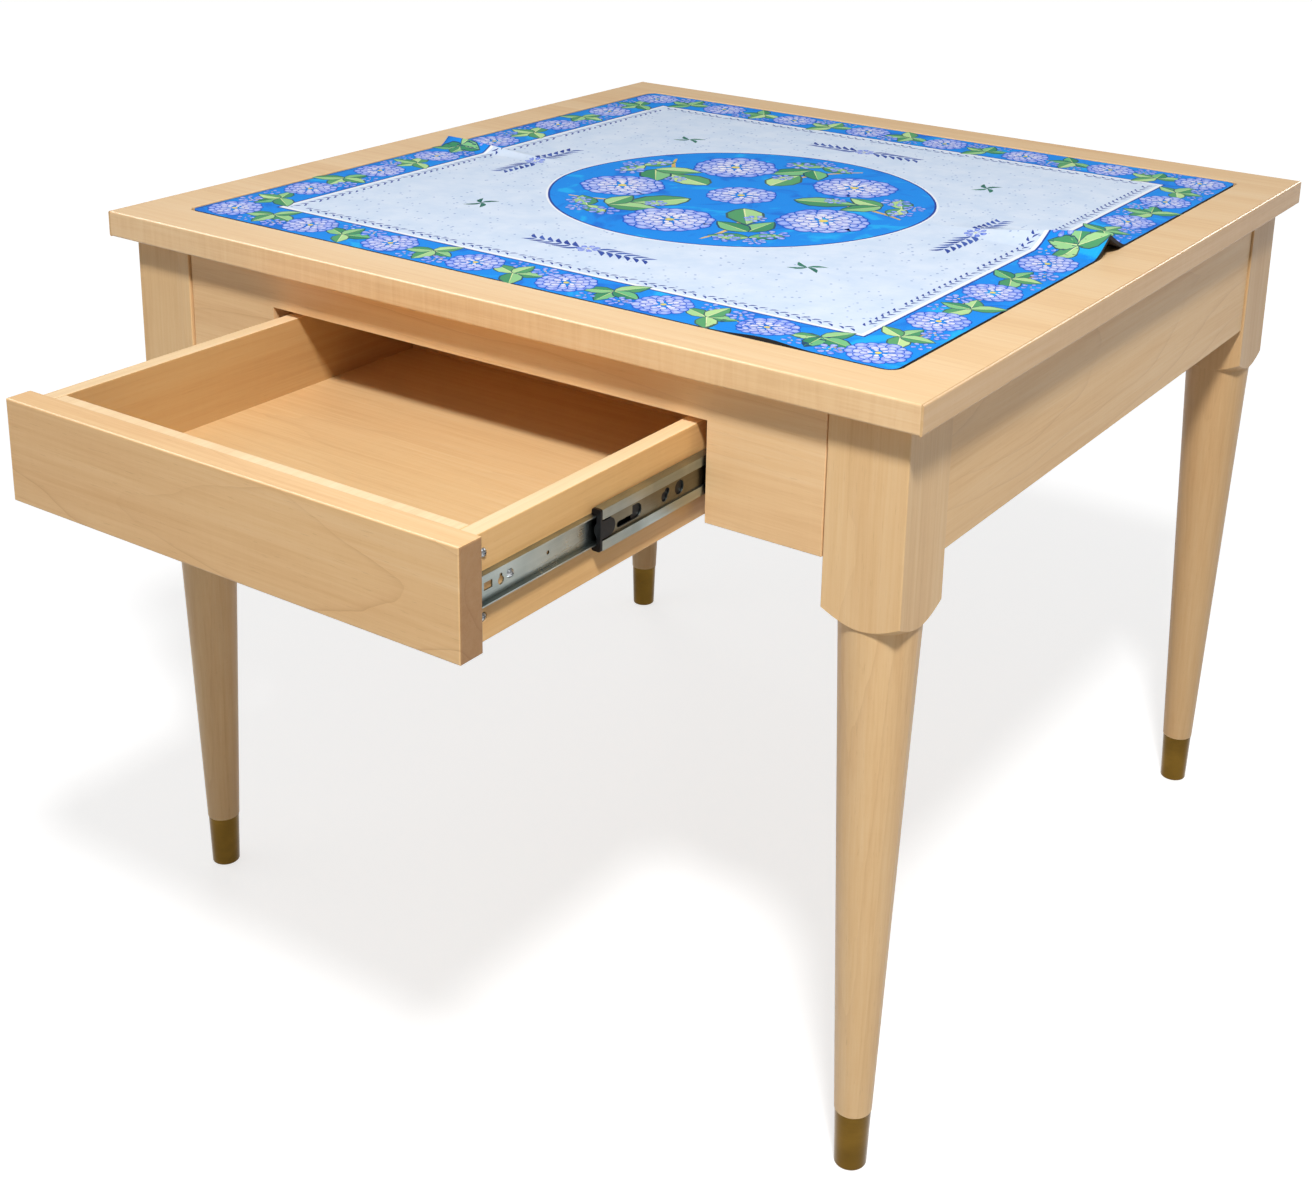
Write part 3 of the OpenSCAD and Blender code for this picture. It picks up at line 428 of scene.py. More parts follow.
# Fixings and plastic pieces
boltSpec = {
    "bright": (205, 208, 210), "dull": (150, 154, 158), "roughness": 0.30, "stretch": (300.0, 300.0, 300.0),
}
plasticSpec = {
    "dark": (10, 10, 12), "light": (18, 18, 20), "roughness": (0.35, 0.48), "specular": 0.22,
    "shadeScale": 120.0, "gritScale": 2400.0, "gritDepth": 0.00005, "gritStrength": 0.3,
}
boltZinc = makeMetal("boltZinc", boltSpec)
darkPlastic = makePlastic("darkPlastic", plasticSpec)
for side in ("left", "right"):
    for name in ("slide_outer", "slide_middle", "slide_inner", "outer_cage", "outer_balls", "inner_balls"):
        paint(side + "_" + name, rolledZinc, webZincShaded if name == "slide_middle" else None, inWeb)
    for name in ("slide_bumper", "release_lever", "inner_cage"):
        paint(side + "_" + name, darkPlastic)
for name in (
        "corner_plates", "hanger_bolts", "hanger_washers", "hanger_nuts", "corner_plate_screws",
        "angle_brackets", "angle_bracket_screws", "slide_rail_screws", "slide_drawer_screws", "lever_rivets",
        "box_corner_screws", "drawer_front_screws"):
    paint(name, boltZinc)
print("stage: slides and fixings")


# Playing mat: printed cloth on black rubber, still showing the ridge of its fold
matLow, matHigh = nodeBox("playing_mat")
matSpec = {
    "side": matHigh[0] - matLow[0], "thick": round(matHigh[2] - matLow[2], 5), "top": matHigh[2],
    "corner": 0.010,
}
# The fold's crest lies at v = crest. It runs aslant, by slant for each metre of x, within slantReach of it.
# The ridge begins at the share "from" of the way to a side edge, and right and left are its heights there.
# Its foot is reach wide on each side, more at the right edge, times backShare or frontShare.
foldSpec = {
    "crest": 0.012, "slant": 0.054, "slantReach": 0.16, "from": 0.45, "right": 0.019, "left": 0.010,
    "rising": 1.6, "sharpness": 1.35, "reach": 0.018, "moreRight": 0.022, "widensFrom": 0.3,
    "backShare": 1.15, "frontShare": 0.85,
}
# The front edge is lifted, most at x = at, where the cloth lies in front of v = -from
liftSpec = {"height": 0.0030, "at": 0.284, "width": 0.03, "from": 0.36, "run": 0.046}
# Lines of the cloth's mesh, closer together where it bends: over the fold, at the lifted edge and at corners
lineSpec = {
    "foldFront": 0.048, "foldBack": 0.054, "foldRows": 69, "liftFrom": 0.355, "liftRows": 13, "evenRows": 35,
    "cornerRows": 7, "flatHalf": 0.18, "flatColumns": 19, "foldColumns": 37, "least": 0.0003,
}


def smooth(value):
    value = np.clip(value, 0.0, 1.0)
    return value * value * (3 - 2 * value)


def smoothFrom(run, start):
    return smooth((run - start) / (1 - start))


def clothPlace(x, v):
    # Where the point (x, v) of the flat cloth lies
    beside = v - foldSpec["crest"]
    y = v + foldSpec["slant"] * x * smooth(1 - np.abs(beside) / foldSpec["slantReach"])
    run = np.abs(x) / (matSpec["side"] / 2)
    rise = np.where(x > 0, foldSpec["right"], foldSpec["left"])
    rise = rise * smoothFrom(run, foldSpec["from"]) ** foldSpec["rising"]
    onRight = np.where(x > 0, 1.0, 0.0)
    reach = foldSpec["reach"] + foldSpec["moreRight"] * onRight * smoothFrom(run, foldSpec["widensFrom"])
    away = np.abs(beside) / (reach * np.where(beside > 0, foldSpec["backShare"], foldSpec["frontShare"]))
    ridge = rise * np.clip(1 - away, 0, 1) ** foldSpec["sharpness"]
    bulge = np.exp(-((x - liftSpec["at"]) / liftSpec["width"]) ** 2)
    lift = liftSpec["height"] * bulge * smooth((-v - liftSpec["from"]) / liftSpec["run"])
    return np.stack([x + 0 * v, y, matSpec["top"] + ridge + lift], -1)


def newMesh(name, points, faces, materials=(), kinds=None):
    mesh = bpy.data.meshes.new(name)
    mesh.from_pydata([tuple(p) for p in points], [], faces)
    for material in materials:
        mesh.materials.append(material)
    if kinds:
        mesh.polygons.foreach_set("material_index", kinds)
    mesh.update()
    obj = bpy.data.objects.new(name, mesh)
    bpy.context.scene.collection.objects.link(obj)
    return obj


clothSpec = {
    "fuzz": 0.02, "roughness": (0.95, 0.82), "specular": 0.12, "knitDepth": 0.00015, "knitStrength": 0.4,
}


def finishCloth(tree, shader, place, colour):
    weave = tree.group(weaveGroup, {"Vector": place})
    fuzz = tree.math("MULTIPLY", weave["Fibre"], clothSpec["fuzz"])
    tree.feed(shader, "Base Color", tree.mix(fuzz, colour, (1, 1, 1, 1)))
    tree.feed(shader, "Roughness", tree.range(weave["Fibre"], 0, 1, *clothSpec["roughness"]))
    shader.inputs["Specular IOR Level"].default_value = clothSpec["specular"]
    bump(tree, shader, weave["Height"], clothSpec["knitDepth"], clothSpec["knitStrength"])


# Ground of the print. panel is half the pale square's side, circle the blue circle's radius.
groundSpec = {
    "panel": 0.344, "line": 0.0020, "margin": 0.0045, "circle": 0.205, "ring": 0.0022, "blur": 0.0002,
    "blue": (0, 142, 240), "blueDark": (0, 118, 224), "blueLight": (16, 176, 248),
    "pale": (210, 226, 247), "paleLight": (222, 234, 251), "speck": (134, 160, 208),
    "navy": (24, 62, 156), "white": (244, 248, 255), "mottleScale": 30.0, "washScale": 13.0,
    "speckScale": 150.0, "speckSize": (0.16, 0.24), "speckStrength": 0.8, "speckRare": 0.62,
}


def makeGround():
    # The printed face: a blue band round a pale speckled square with a blue circle
    material, tree, shader = newMaterial("matPrint")
    place = tree.add("ShaderNodeAttribute", attribute_name="flatPlace").outputs["Vector"]
    parts = tree.add("ShaderNodeSeparateXYZ", {"Vector": place}).outputs
    far = tree.math("MAXIMUM", tree.math("ABSOLUTE", parts["X"]), tree.math("ABSOLUTE", parts["Y"]))
    radius = tree.length(place)

    mottle = tree.add("ShaderNodeTexNoise", {
        "Vector": place, "Scale": groundSpec["mottleScale"], "Detail": 4.0, "Roughness": 0.6}).outputs["Fac"]
    wash = tree.add("ShaderNodeTexNoise", {
        "Vector": place, "Scale": groundSpec["washScale"], "Detail": 3.0, "Distortion": 1.6}).outputs["Fac"]
    specks = tree.add("ShaderNodeTexVoronoi", {"Vector": place, "Scale": groundSpec["speckScale"]}).outputs
    picked = tree.add("ShaderNodeSeparateColor", {"Color": specks["Color"]}).outputs[0]
    dots = tree.range(specks["Distance"], *groundSpec["speckSize"], groundSpec["speckStrength"], 0.0)
    dots = tree.math("MULTIPLY", dots, tree.math("GREATER_THAN", picked, groundSpec["speckRare"]))
    pale = tree.ramp(mottle, [(0.36, groundSpec["pale"]), (0.64, groundSpec["paleLight"])])
    pale = tree.mix(dots, pale, linear(groundSpec["speck"]))
    blue = tree.ramp(wash, [
        (0.36, groundSpec["blueDark"]), (0.44, groundSpec["blue"]), (0.58, groundSpec["blue"]),
        (0.66, groundSpec["blueLight"])])

    # From the middle outwards, each colour begins beyond an edge
    panel, circle, ring = groundSpec["panel"], groundSpec["circle"], groundSpec["ring"]
    navy, white = linear(groundSpec["navy"]), linear(groundSpec["white"])
    colour = blue
    for value, edge, beyond in (
            (radius, circle, navy), (radius, circle + ring, white), (radius, circle + 2 * ring, pale),
            (far, panel - groundSpec["margin"], white), (far, panel, navy),
            (far, panel + groundSpec["line"], blue)):
        past = tree.range(value, edge - groundSpec["blur"], edge + groundSpec["blur"])
        colour = tree.mix(past, colour, beyond)
    finishCloth(tree, shader, place, colour)
    return material


def makeInk(name, light, dark):
    # A printed colour, mixed by the tint that each printed shape carries
    material, tree, shader = newMaterial(name)
    tint = tree.add("ShaderNodeAttribute", attribute_name="tint").outputs["Fac"]
    finishCloth(tree, shader, tree.objectPlace(), tree.mix(tint, linear(dark), linear(light)))
    return material


rubberSpec = {
    "dark": (10, 10, 12), "light": (30, 30, 34), "roughness": (0.75, 0.9), "poreScale": 1500.0,
    "poreDepth": 0.0002, "poreStrength": 0.5,
}


def makeRubber():
    material, tree, shader = newMaterial("matRubber")
    pores = tree.noise(tree.objectPlace(), rubberSpec["poreScale"], 3.0)
    tree.feed(shader, "Base Color", tree.mix(pores, linear(rubberSpec["dark"]), linear(rubberSpec["light"])))
    tree.feed(shader, "Roughness", tree.range(pores, 0.3, 0.7, *rubberSpec["roughness"]))
    bump(tree, shader, pores, rubberSpec["poreDepth"], rubberSpec["poreStrength"])
    return material


half, corner, flatHalf = matSpec["side"] / 2, matSpec["corner"], lineSpec["flatHalf"]
foldRows = foldSpec["crest"] + np.linspace(-lineSpec["foldFront"], lineSpec["foldBack"], lineSpec["foldRows"])
liftRows = np.linspace(-half, -lineSpec["liftFrom"], lineSpec["liftRows"])
foldColumns = np.linspace(flatHalf, half, lineSpec["foldColumns"])


def matRows():
    bends = half - corner * (1 - np.cos(np.linspace(0, math.pi / 2, lineSpec["cornerRows"])))
    even = np.linspace(-half, half, lineSpec["evenRows"])
    every = np.unique(np.round(np.concatenate([even, foldRows, liftRows, bends, -bends]), 6))
    rows = [every[0]]
    for value in every[1:-1]:
        if value - rows[-1] > lineSpec["least"] or np.isclose(foldRows, value, atol=1e-6).any():
            rows.append(value)
    return np.array(rows + [half])


def makeMat(printed, rubber):
    # The mat as a sheet with its real thickness, from rows of points across its rounded outline
    thick = matSpec["thick"]
    rows = matRows()
    flatColumns = np.linspace(-flatHalf, flatHalf, lineSpec["flatColumns"])[1:-1]
    columns = np.concatenate([-foldColumns[::-1], flatColumns, foldColumns])
    over = np.maximum(0.0, np.abs(rows) - (half - corner))
    wide = half - corner + np.sqrt(np.maximum(0.0, corner * corner - over * over))
    x = wide[:, None] / half * columns[None, :]
    v = np.repeat(rows[:, None], len(columns), axis=1)
    step = 0.0005  # to each side of a point, for the slope of the cloth there
    top = clothPlace(x, v)
    alongX = clothPlace(x + step, v) - clothPlace(x - step, v)
    alongV = clothPlace(x, v + step) - clothPlace(x, v - step)
    slope = np.cross(alongX, alongV)
    slope /= np.linalg.norm(slope, axis=-1, keepdims=True)
    below = top - slope * thick
    below[..., 2] = np.maximum(below[..., 2], matSpec["top"] - thick)
    rowCount, columnCount = x.shape
    size = rowCount * columnCount
    faces, kinds = [], []
    for r in range(rowCount - 1):
        for c in range(columnCount - 1):
            a = r * columnCount + c
            b = a + columnCount
            faces += [(a, a + 1, b + 1, b), (size + b, size + b + 1, size + a + 1, size + a)]
            kinds += [0, 1]
    border = list(range(columnCount))
    border += [r * columnCount + columnCount - 1 for r in range(1, rowCount)]
    border += [(rowCount - 1) * columnCount + c for c in range(columnCount - 2, -1, -1)]
    border += [r * columnCount for r in range(rowCount - 2, 0, -1)]
    for a, b in zip(border, border[1:] + border[:1]):
        faces.append((a, size + a, size + b, b))
        kinds.append(1)
    points = np.concatenate([top.reshape(-1, 3), below.reshape(-1, 3)])
    mat = newMesh("playingMat", points, faces, [printed, rubber], kinds)
    flat = np.concatenate([np.stack([x, v, np.zeros_like(x)], -1).reshape(-1, 3)] * 2)
    places = mat.data.attributes.new("flatPlace", "FLOAT_VECTOR", "POINT")
    places.data.foreach_set("vector", flat.astype(np.float32).ravel())
    for polygon in mat.data.polygons:
        polygon.use_smooth = abs(polygon.normal.z) > 0.5
    return mat


mat = makeMat(makeGround(), makeRubber())
print("stage: mat", len(mat.data.polygons), "faces")


def makeScatterNodes():
    # The motif at every given point, turned, sized and inked by the point's own values
    tree = bpy.data.node_groups.new("scatterMotif", "GeometryNodeTree")
    tree.is_modifier = True
    for name, kind in (
            ("Geometry", "Geometry"), ("Motif", "Object"), ("Scale", "Float"), ("Ink", "Material")):
        tree.interface.new_socket(name=name, in_out="INPUT", socket_type="NodeSocket" + kind)
    tree.interface.new_socket(name="Geometry", in_out="OUTPUT", socket_type="NodeSocketGeometry")
    g = NodeTree(tree)
    given = g.add("NodeGroupInput").outputs
    motif = g.add("GeometryNodeObjectInfo", {"Object": given["Motif"]}).outputs["Geometry"]
    turn, size = (
        g.add("GeometryNodeInputNamedAttribute", {"Name": name}, data_type="FLOAT").outputs["Attribute"]
        for name in ("turn", "size"))
    placed = g.add("GeometryNodeInstanceOnPoints", {
        "Points": given["Geometry"], "Instance": motif,
        "Rotation": g.add("ShaderNodeCombineXYZ", {"Z": turn}).outputs[0],
        "Scale": g.math("MULTIPLY", size, given["Scale"])})
    real = g.add("GeometryNodeRealizeInstances", {"Geometry": placed.outputs[0]})
    inked = g.add("GeometryNodeSetMaterial", {"Geometry": real.outputs[0], "Material": given["Ink"]})
    g.add("NodeGroupOutput", {"Geometry": inked.outputs[0]})
    return tree


scatterNodes = makeScatterNodes()
motifScale = 1.0  # all printed shapes grow or shrink by it, each in its place
inkStep = 0.000006  # a shape lies this much over those of the rank before, so that no two share a plane
# Bent parts of the cloth: (low x, high x, low v, high v, lines across x, lines across v)
bentParts = [
    (-half, -flatHalf, foldRows[0], foldRows[-1], -foldColumns, foldRows),
    (flatHalf, half, foldRows[0], foldRows[-1], foldColumns, foldRows),
    (flatHalf, half, -half, -lineSpec["liftFrom"], foldColumns, liftRows),
]


def splitAt(shapes, axis, value):
    # Cuts flat shapes, given as lists of points, along a line across x (axis 0) or v (axis 1)
    parts, hair = [], 1e-7
    for shape in shapes:
        sides = [point[axis] - value for point in shape]
        if min(sides) > -hair or max(sides) < hair:
            parts.append(shape)
            continue
        low, high = [], []
        for (a, da), (b, db) in zip(zip(shape, sides), zip(shape[1:] + shape[:1], sides[1:] + sides[:1])):
            if da <= 0:
                low.append(a)
            if da >= 0:
                high.append(a)
            if da * db < 0:
                cut = [p + (q - p) * da / (da - db) for p, q in zip(a, b)]
                cut[axis] = value
                low.append(cut)
                high.append(cut)
        parts += [part for part in (low, high) if len(part) > 2]
    return parts


def drape(flat, name):
    # The flat print laid on the cloth: cut along the cloth's own lines where it bends
    tints = [value.value for value in flat.attributes["tint"].data]
    shapes, shapeTints = [], []
    for polygon in flat.polygons:
        parts = [[list(flat.vertices[i].co) for i in polygon.vertices]]
        for lowX, highX, lowV, highV, columns, rows in bentParts:
            xs, vs = [p[0] for p in parts[0]], [p[1] for p in parts[0]]
            if max(xs) < lowX or min(xs) > highX or max(vs) < lowV or min(vs) > highV:
                continue
            for axis, lines, reach in ((0, columns, xs), (1, rows, vs)):
                for line in lines:
                    if min(reach) < line < max(reach):
                        parts = splitAt(parts, axis, float(line))
            break
        shapes += parts
        shapeTints += [tints[polygon.vertices[0]]] * len(parts)
    points = np.array([point for shape in shapes for point in shape])
    places = clothPlace(points[:, 0], points[:, 1])
    places[:, 2] += points[:, 2]
    ends = np.cumsum([0] + [len(shape) for shape in shapes])
    ink = flat.materials[flat.polygons[0].material_index]
    obj = newMesh(name, places, [tuple(range(a, b)) for a, b in zip(ends, ends[1:])], [ink])
    tint = obj.data.attributes.new("tint", "FLOAT", "POINT")
    tint.data.foreach_set("value", np.repeat(shapeTints, np.diff(ends)).astype(np.float32))
    return obj


def printMotif(name, spots, motif, ink, height):
    # Prints the motif at each spot (x, y, turn, size, tint, rank), lying on the mat's face
    seeds = newMesh(name + "Spots", [(spot[0], spot[1], height + spot[-1] * inkStep) for spot in spots], [])
    for index, attribute in ((2, "turn"), (3, "size"), (4, "tint")):
        values = seeds.data.attributes.new(attribute, "FLOAT", "POINT")
        values.data.foreach_set("value", [spot[index] for spot in spots])
    modifier = seeds.modifiers.new("scatter", "NODES")
    modifier.node_group = scatterNodes
    sockets = {s.name: s.identifier for s in scatterNodes.interface.items_tree if s.in_out == "INPUT"}
    modifier[sockets["Motif"]] = motif
    modifier[sockets["Scale"]] = motifScale
    modifier[sockets["Ink"]] = ink
    bpy.context.view_layer.update()
    mesh = bpy.data.meshes.new_from_object(seeds.evaluated_get(bpy.context.evaluated_depsgraph_get()))
    bpy.data.objects.remove(seeds)
    obj = drape(mesh, name)
    bpy.data.meshes.remove(mesh)
    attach(obj, "mat")
    return obj


def makeMotif(name, shapes):
    # A flat motif of one or more shapes, each a list of points, kept out of the scene
    points, faces = [], []
    for shape in shapes:
        faces.append(tuple(range(len(points), len(points) + len(shape))))
        points += [(x, y, 0.0) for x, y in shape]
    motif = newMesh(name, points, faces)
    for polygon in motif.data.polygons:
        if polygon.normal.z < 0:
            polygon.flip()
    bpy.context.scene.collection.objects.unlink(motif)
    return motif


outlineSteps = 10  # points round a petal or a disc
petalWidths = {"foot": 0.62, "gain": 0.66}  # share of the width at the foot, and its gain to the tip


def turnsRound():
    return [2 * math.pi * i / outlineSteps for i in range(outlineSteps)]


def petal(length, width, foot=0.0):
    # Petal with its foot at x = foot, broadest near its tip
    outline = []
    for angle in turnsRound():
        share = (1 - math.cos(angle)) / 2
        broad = petalWidths["foot"] + petalWidths["gain"] * share
        outline.append((foot + length * share, width / 2 * math.sin(angle) * broad))
    return outline


def disc(radius):
    return [(radius * math.cos(angle), radius * math.sin(angle)) for angle in turnsRound()]


def mirrored(outline):
    return [(x, -y) for x, y in outline]


def strip(line):
    # Quads along a line of (x, y, half width)
    return [[(x, y - w), (a, b - v), (a, b + v), (x, y + w)] for (x, y, w), (a, b, v) in zip(line, line[1:])]


# Outlines of a motif one metre long, as points (x, y)
leafHalf = [(0, 0), (0.10, 0.14), (0.30, 0.27), (0.56, 0.27), (0.82, 0.13), (1.0, 0)]
leafRim = [(-0.03, 0), (0.08, 0.17), (0.30, 0.31), (0.58, 0.31), (0.85, 0.16), (1.04, 0)]
leafVein = [(0.02, -0.014), (0.9, -0.004), (0.9, 0.004), (0.02, 0.014)]
stemLine = [
    (0, 0, 0.024), (0.12, 0.042, 0.023), (0.25, 0.072, 0.022), (0.38, 0.092, 0.022), (0.5, 0.102, 0.022),
    (0.62, 0.101, 0.021), (0.75, 0.087, 0.020), (0.88, 0.060, 0.017), (1, 0.026, 0.012),
]
motifs = {name: makeMotif(name, shapes) for name, shapes in {
    "petalRim": [petal(1.16, 0.98, foot=-0.08)],
    "petal": [petal(1.0, 0.80)],
    "petalShine": [petal(0.42, 0.42, foot=0.50)],
    "eye": [disc(1.0)],
    "leafRim": [leafRim + mirrored(leafRim[-2:0:-1])],
    "leafUpper": [leafHalf],
    "leafLower": [mirrored(leafHalf)],
    "leafVein": [leafVein],
    "stem": strip(stemLine),
}.items()}
printSeed = 11
draw = random.Random(printSeed)
spots = {kind: [] for kind in ("petals", "eyes", "leaves", "stems", "sprigs", "greens")}


def addSpot(kind, x, y, turn, size, tint=None, rank=0):
    spots[kind].append((x, y, turn, size, draw.random() if tint is None else tint, rank))


# Rosettes. Rings are (share of the radius, number of petals), from the outermost in.
rosetteSpec = {
    "rings": ((1.00, 15), (0.76, 12), (0.53, 9), (0.31, 5)), "budRings": ((1.0, 7), (0.5, 4)),
    "smallBudRings": ((1.0, 5),), "foot": 0.52, "petal": 0.48, "least": 0.0012, "eye": 0.11, "palerBy": 0.24,
    "spread": (-0.10, 0.10), "tints": (-0.10, 0.26), "twist": (-0.1, 0.1), "sizes": (0.92, 1.10),
    "eyeRank": 20,
}
leafRange = {"sizes": (0.88, 1.12), "ranks": 9}


def addRosette(x, y, radius, rings=rosetteSpec["rings"]):
    # A round flower of rings of petals, each ring over the one outside it and paler than it
    for level, (share, petals) in enumerate(rings):
        phase = draw.uniform(0, 2 * math.pi)
        foot = share * radius * rosetteSpec["foot"]
        for k in range(petals):
            angle = phase + 2 * math.pi * (k + draw.uniform(*rosetteSpec["spread"])) / petals
            tint = rosetteSpec["palerBy"] * level + draw.uniform(*rosetteSpec["tints"])
            turn = angle + draw.uniform(*rosetteSpec["twist"])
            size = share * radius * rosetteSpec["petal"] * draw.uniform(*rosetteSpec["sizes"])
            addSpot("petals", x + foot * math.cos(angle), y + foot * math.sin(angle), turn,
                    size + rosetteSpec["least"], min(1.0, max(0.0, tint)), 4 * level + 2 * (k % 2))
    addSpot("eyes", x, y, 0, radius * rosetteSpec["eye"], rank=rosetteSpec["eyeRank"])


def addLeaves(x, y, turns, size):
    for turn in turns:
        rank = len(spots["leaves"]) % leafRange["ranks"]
        addSpot("leaves", x, y, turn, size * draw.uniform(*leafRange["sizes"]), rank=rank)


def onSide(side):
    # Places along one side of the mat: a runs along the side, b out to the edge, t is a direction there
    c, s = math.cos(side * math.pi / 2), math.sin(side * math.pi / 2)
    return (lambda a, b: (c * a + s * b, s * a - c * b)), (lambda t: side * math.pi / 2 - t)


# The blue band. Steps are (along, out) from the middle between two rosettes, and out changes sides each time.
borderSpec = {
    "rosettes": 7, "rosette": 0.0262, "leafStep": (-0.004, -0.006), "leafTurns": (2.75, 0.25, 1.5, -1.0),
    "leaf": 0.032, "stemStep": (-0.030, 0.006), "stemTurn": 0.16, "stem": 0.058,
    "budStep": (0.017, 0.016), "bud": 0.0115, "smallBudStep": (-0.017, 0.020), "smallBud": 0.0080,
}
# A row of small leaves along the panel's edge, with a gap after each run
rowSpec = {
    "reach": 60, "pitch": 0.0054, "inset": 0.0120, "lean": 0.62, "leaf": 0.0088, "tint": 0.2, "run": 13,
}
# A sprig in the middle of each side, and a cross of leaves between the circle and each corner
sprigSpec = {
    "leaves": 6, "pitch": 0.0105, "out": 0.272, "lean": 0.72, "leaf": 0.0205, "taper": 0.0008,
    "flower": 0.0100,
}
crossSpec = {"place": (0.200, 0.195), "lean": 0.6, "leaf": 0.020}


def printSide(side):
    place, heading = onSide(side)
    middleOut = (groundSpec["panel"] + half) / 2
    pitch = 2 * middleOut / borderSpec["rosettes"]
    for k in range(borderSpec["rosettes"]):
        run, swing = -middleOut + k * pitch, (-1) ** k

        def stepped(name):
            along, out = borderSpec[name]
            return place(run + pitch / 2 + along, middleOut + out * swing)

        turns = [heading(swing * turn) for turn in borderSpec["leafTurns"]]
        addLeaves(*stepped("leafStep"), turns, borderSpec["leaf"])
        addSpot("stems", *stepped("stemStep"), heading(borderSpec["stemTurn"]), borderSpec["stem"])
        addRosette(*place(run, middleOut), borderSpec["rosette"])
        addRosette(*stepped("budStep"), borderSpec["bud"], rosetteSpec["budRings"])
        addRosette(*stepped("smallBudStep"), borderSpec["smallBud"], rosetteSpec["smallBudRings"])
    for k in range(-rowSpec["reach"], rowSpec["reach"] + 1):
        if (k + rowSpec["reach"]) % rowSpec["run"]:
            spot = place(k * rowSpec["pitch"], groundSpec["panel"] - rowSpec["inset"])
            lean = rowSpec["lean"] * (1 - 2 * (k % 2))
            addSpot("sprigs", *spot, heading(lean), rowSpec["leaf"], rowSpec["tint"])
    for k in range(-sprigSpec["leaves"], sprigSpec["leaves"] + 1):
        if k:
            flip = 0 if k > 0 else math.pi
            size = sprigSpec["leaf"] - sprigSpec["taper"] * abs(k)
            for way in (-1, 1):
                turn = heading(way * sprigSpec["lean"] + flip)
                addSpot("sprigs", *place(k * sprigSpec["pitch"], sprigSpec["out"]), turn, size, rank=abs(k))
    addRosette(*place(0, sprigSpec["out"]), sprigSpec["flower"], rosetteSpec["budRings"])
    lean = crossSpec["lean"]
    for turn in (-lean, lean, math.pi + lean, math.pi - lean):
        addSpot("greens", *place(*crossSpec["place"]), heading(turn), crossSpec["leaf"])


# The circle: a rosette in the middle, a ring of them round it, leaves and buds between.
# Leaves are (distance out, turns, size), buds (distance out, angle past the spoke, radius).
circleSpec = {
    "rosettes": 5, "start": 0.3, "rosetteOut": 0.132, "rosette": 0.045, "middle": 0.036,
    "rings": ((1.0, 19), (0.80, 16), (0.60, 12), (0.42, 9), (0.24, 5)),
    "middleRings": ((1.0, 17), (0.78, 14), (0.57, 10), (0.36, 6)),
    "leaves": ((0.058, (0.0,), 0.066), (0.150, (2.5, -2.5), 0.052), (0.172, (1.75, -1.75), 0.040)),
    "stemOut": 0.085, "stemTurn": -0.5, "stem": 0.105,
    "buds": ((0.176, -0.13, 0.013), (0.185, 0.03, 0.011), (0.164, 0.16, 0.015), (0.100, 0.10, 0.011)),
}


def polar(reach, angle):
    return reach * math.cos(angle), reach * math.sin(angle)


def printCircle():
    count = circleSpec["rosettes"]
    for k in range(count):
        angle = 2 * math.pi * k / count + circleSpec["start"]
        for reach, turns, size in circleSpec["leaves"]:
            addLeaves(*polar(reach, angle), [angle + turn for turn in turns], size)
        foot = polar(circleSpec["stemOut"], angle)
        addSpot("stems", *foot, angle + circleSpec["stemTurn"], circleSpec["stem"])
        between = polar(circleSpec["rosetteOut"], angle + math.pi / count)
        addRosette(*between, circleSpec["rosette"], circleSpec["rings"])
        for reach, swing, radius in circleSpec["buds"]:
            addRosette(*polar(reach, angle + swing), radius, rosetteSpec["budRings"])
    addRosette(0, 0, circleSpec["middle"], circleSpec["middleRings"])


for side in range(4):
    printSide(side)
printCircle()

# Printed pieces: spots, motif, light ink, dark ink and height over the cloth. Heights differ by a few hairs.
leafHeight, bloomHeight, hair = 0.00006, 0.00013, 0.000001
inks = {
    "matStems": ("stems", "stem", (240, 206, 120), (206, 168, 88), 0.00004),
    "matLeafRims": ("leaves", "leafRim", (70, 104, 92), (24, 70, 110), leafHeight - 2 * hair),
    "matLeavesUpper": ("leaves", "leafUpper", (196, 230, 158), (106, 190, 130), leafHeight),
    "matLeavesLower": ("leaves", "leafLower", (94, 168, 110), (50, 140, 98), leafHeight),
    "matLeafVeins": ("leaves", "leafVein", (244, 246, 196), (214, 228, 150), leafHeight + 2 * hair),
    "matPetalRims": ("petals", "petalRim", (30, 112, 222), (12, 92, 210), bloomHeight),
    "matPetals": ("petals", "petal", (246, 242, 252), (128, 150, 240), bloomHeight + 3 * hair),
    "matPetalShines": ("petals", "petalShine", (252, 252, 255), (164, 186, 252), bloomHeight + 6 * hair),
    "matEyes": ("eyes", "eye", (250, 226, 120), (220, 214, 110), bloomHeight + 6 * hair),
    "matSprigs": ("sprigs", "leafUpper", (70, 104, 190), (28, 58, 150), leafHeight),
    "matGreens": ("greens", "leafUpper", (60, 130, 110), (34, 100, 90), leafHeight),
}
for name, (kind, motif, light, dark, height) in inks.items():
    ink = makeInk("ink" + name[3:], light, dark)
    printMotif(name, spots[kind], motifs[motif], ink, height)
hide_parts("playing_mat")
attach(mat, "mat")


# Floor: pale, keeps the table's shadow. Its glow, seen by the view and in mirrors alone, grows outwards.
floorSpec = {
    "half": 14.0, "shade": 0.50, "roughness": 0.8, "glowNear": 0.70, "glowFar": 0.86, "near": 1.0, "far": 3.2,
}
worldSpec = {"ambient": 0.25, "mirrored": 0.32}
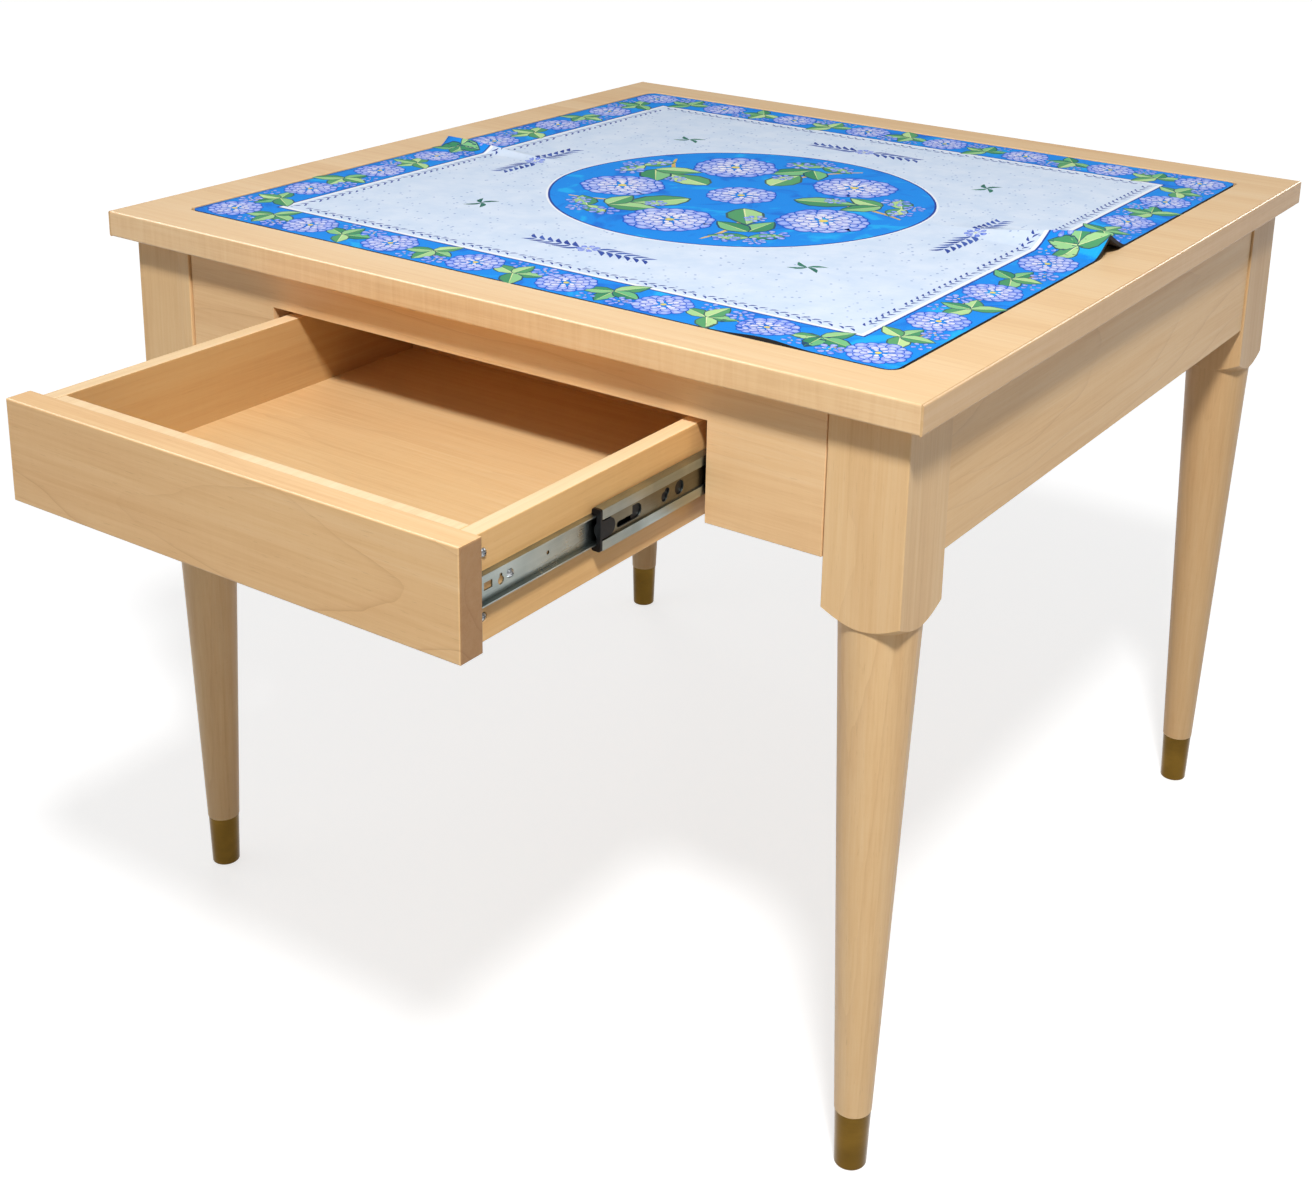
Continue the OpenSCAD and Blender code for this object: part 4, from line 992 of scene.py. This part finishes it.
# Lamps: the key high on the right and a weak one behind, then two that only draw the bright lines along
# rounded arrises and give the surfaces no light of their own
lamps = {
    "key": {"place": (1.36, -1.85, 3.20), "aim": (0.0, -0.1, 0.6), "size": 0.42, "power": 100},
    "side": {"place": (-2.2, 1.6, 2.6), "aim": (0.0, 0.0, 0.5), "size": 1.4, "power": 6},
    "leftSheen": {
        "place": (-1.4, -1.0, 2.4), "aim": (0.1, -0.4, 0.7), "size": 1.6, "power": 80, "sheenOnly": True},
    "backSheen": {
        "place": (1.1, 3.0, 1.9), "aim": (0.4, 0.0, 0.7), "size": 1.2, "power": 45, "sheenOnly": True},
}


def makeFloor():
    material, tree, shader = newMaterial("paleFloor")
    shader.inputs["Base Color"].default_value = (floorSpec["shade"],) * 3 + (1,)
    shader.inputs["Roughness"].default_value = floorSpec["roughness"]
    path = tree.add("ShaderNodeLightPath").outputs
    seen = tree.math("MAXIMUM", path["Is Camera Ray"], path["Is Glossy Ray"])
    away = tree.length(tree.objectPlace())
    glow = tree.range(away, floorSpec["near"], floorSpec["far"], floorSpec["glowNear"], floorSpec["glowFar"])
    shader.inputs["Emission Color"].default_value = (1, 1, 1, 1)
    tree.feed(shader, "Emission Strength", tree.math("MULTIPLY", glow, seen))
    half = floorSpec["half"]
    corners = [(-half, -half, 0), (half, -half, 0), (half, half, 0), (-half, half, 0)]
    newMesh("floor", corners, [(0, 1, 2, 3)], [material])


def makeWorld():
    world = bpy.data.worlds.new("studio")
    bpy.context.scene.world = world
    world.use_nodes = True
    tree = NodeTree(world.node_tree)
    path = tree.add("ShaderNodeLightPath").outputs
    seen = tree.math("MAXIMUM", path["Is Camera Ray"], path["Is Transmission Ray"])
    mirrored = tree.range(path["Is Glossy Ray"], 0, 1, worldSpec["ambient"], worldSpec["mirrored"])
    background = world.node_tree.nodes["Background"]
    background.inputs["Color"].default_value = (1, 1, 1, 1)
    tree.feed(background, "Strength", tree.math("MAXIMUM", seen, mirrored))


def makeLamp(name, spec):
    lamp = bpy.data.lights.new(name + "Lamp", "AREA")
    lamp.shape = "DISK"
    lamp.size = spec["size"]
    lamp.energy = spec["power"]
    obj = bpy.data.objects.new(name + "Lamp", lamp)
    obj.location = spec["place"]
    obj.rotation_mode = "QUATERNION"
    obj.rotation_quaternion = (Vector(spec["aim"]) - Vector(spec["place"])).to_track_quat("-Z", "Y")
    obj.visible_diffuse = not spec.get("sheenOnly")
    obj.visible_camera = False
    bpy.context.scene.collection.objects.link(obj)


makeFloor()
makeWorld()
for name, spec in lamps.items():
    makeLamp(name, spec)

view = {
    "place": (1.0689, -1.6852, 1.2588), "turn": (1.2711, -0.0235, 0.5920), "lens": 52.281, "sensor": 36.0,
    "shift": (-0.0354, -0.2283),
}
cameraData = bpy.data.cameras.new("camera")
cameraData.sensor_fit = "HORIZONTAL"
cameraData.sensor_width = view["sensor"]
cameraData.lens = view["lens"]
cameraData.shift_x, cameraData.shift_y = view["shift"]
camera = bpy.data.objects.new("camera", cameraData)
camera.location = view["place"]
camera.rotation_euler = view["turn"]
bpy.context.scene.collection.objects.link(camera)
bpy.context.scene.camera = camera
bpy.context.scene.view_settings.view_transform = "Standard"
print("stage: light and camera")
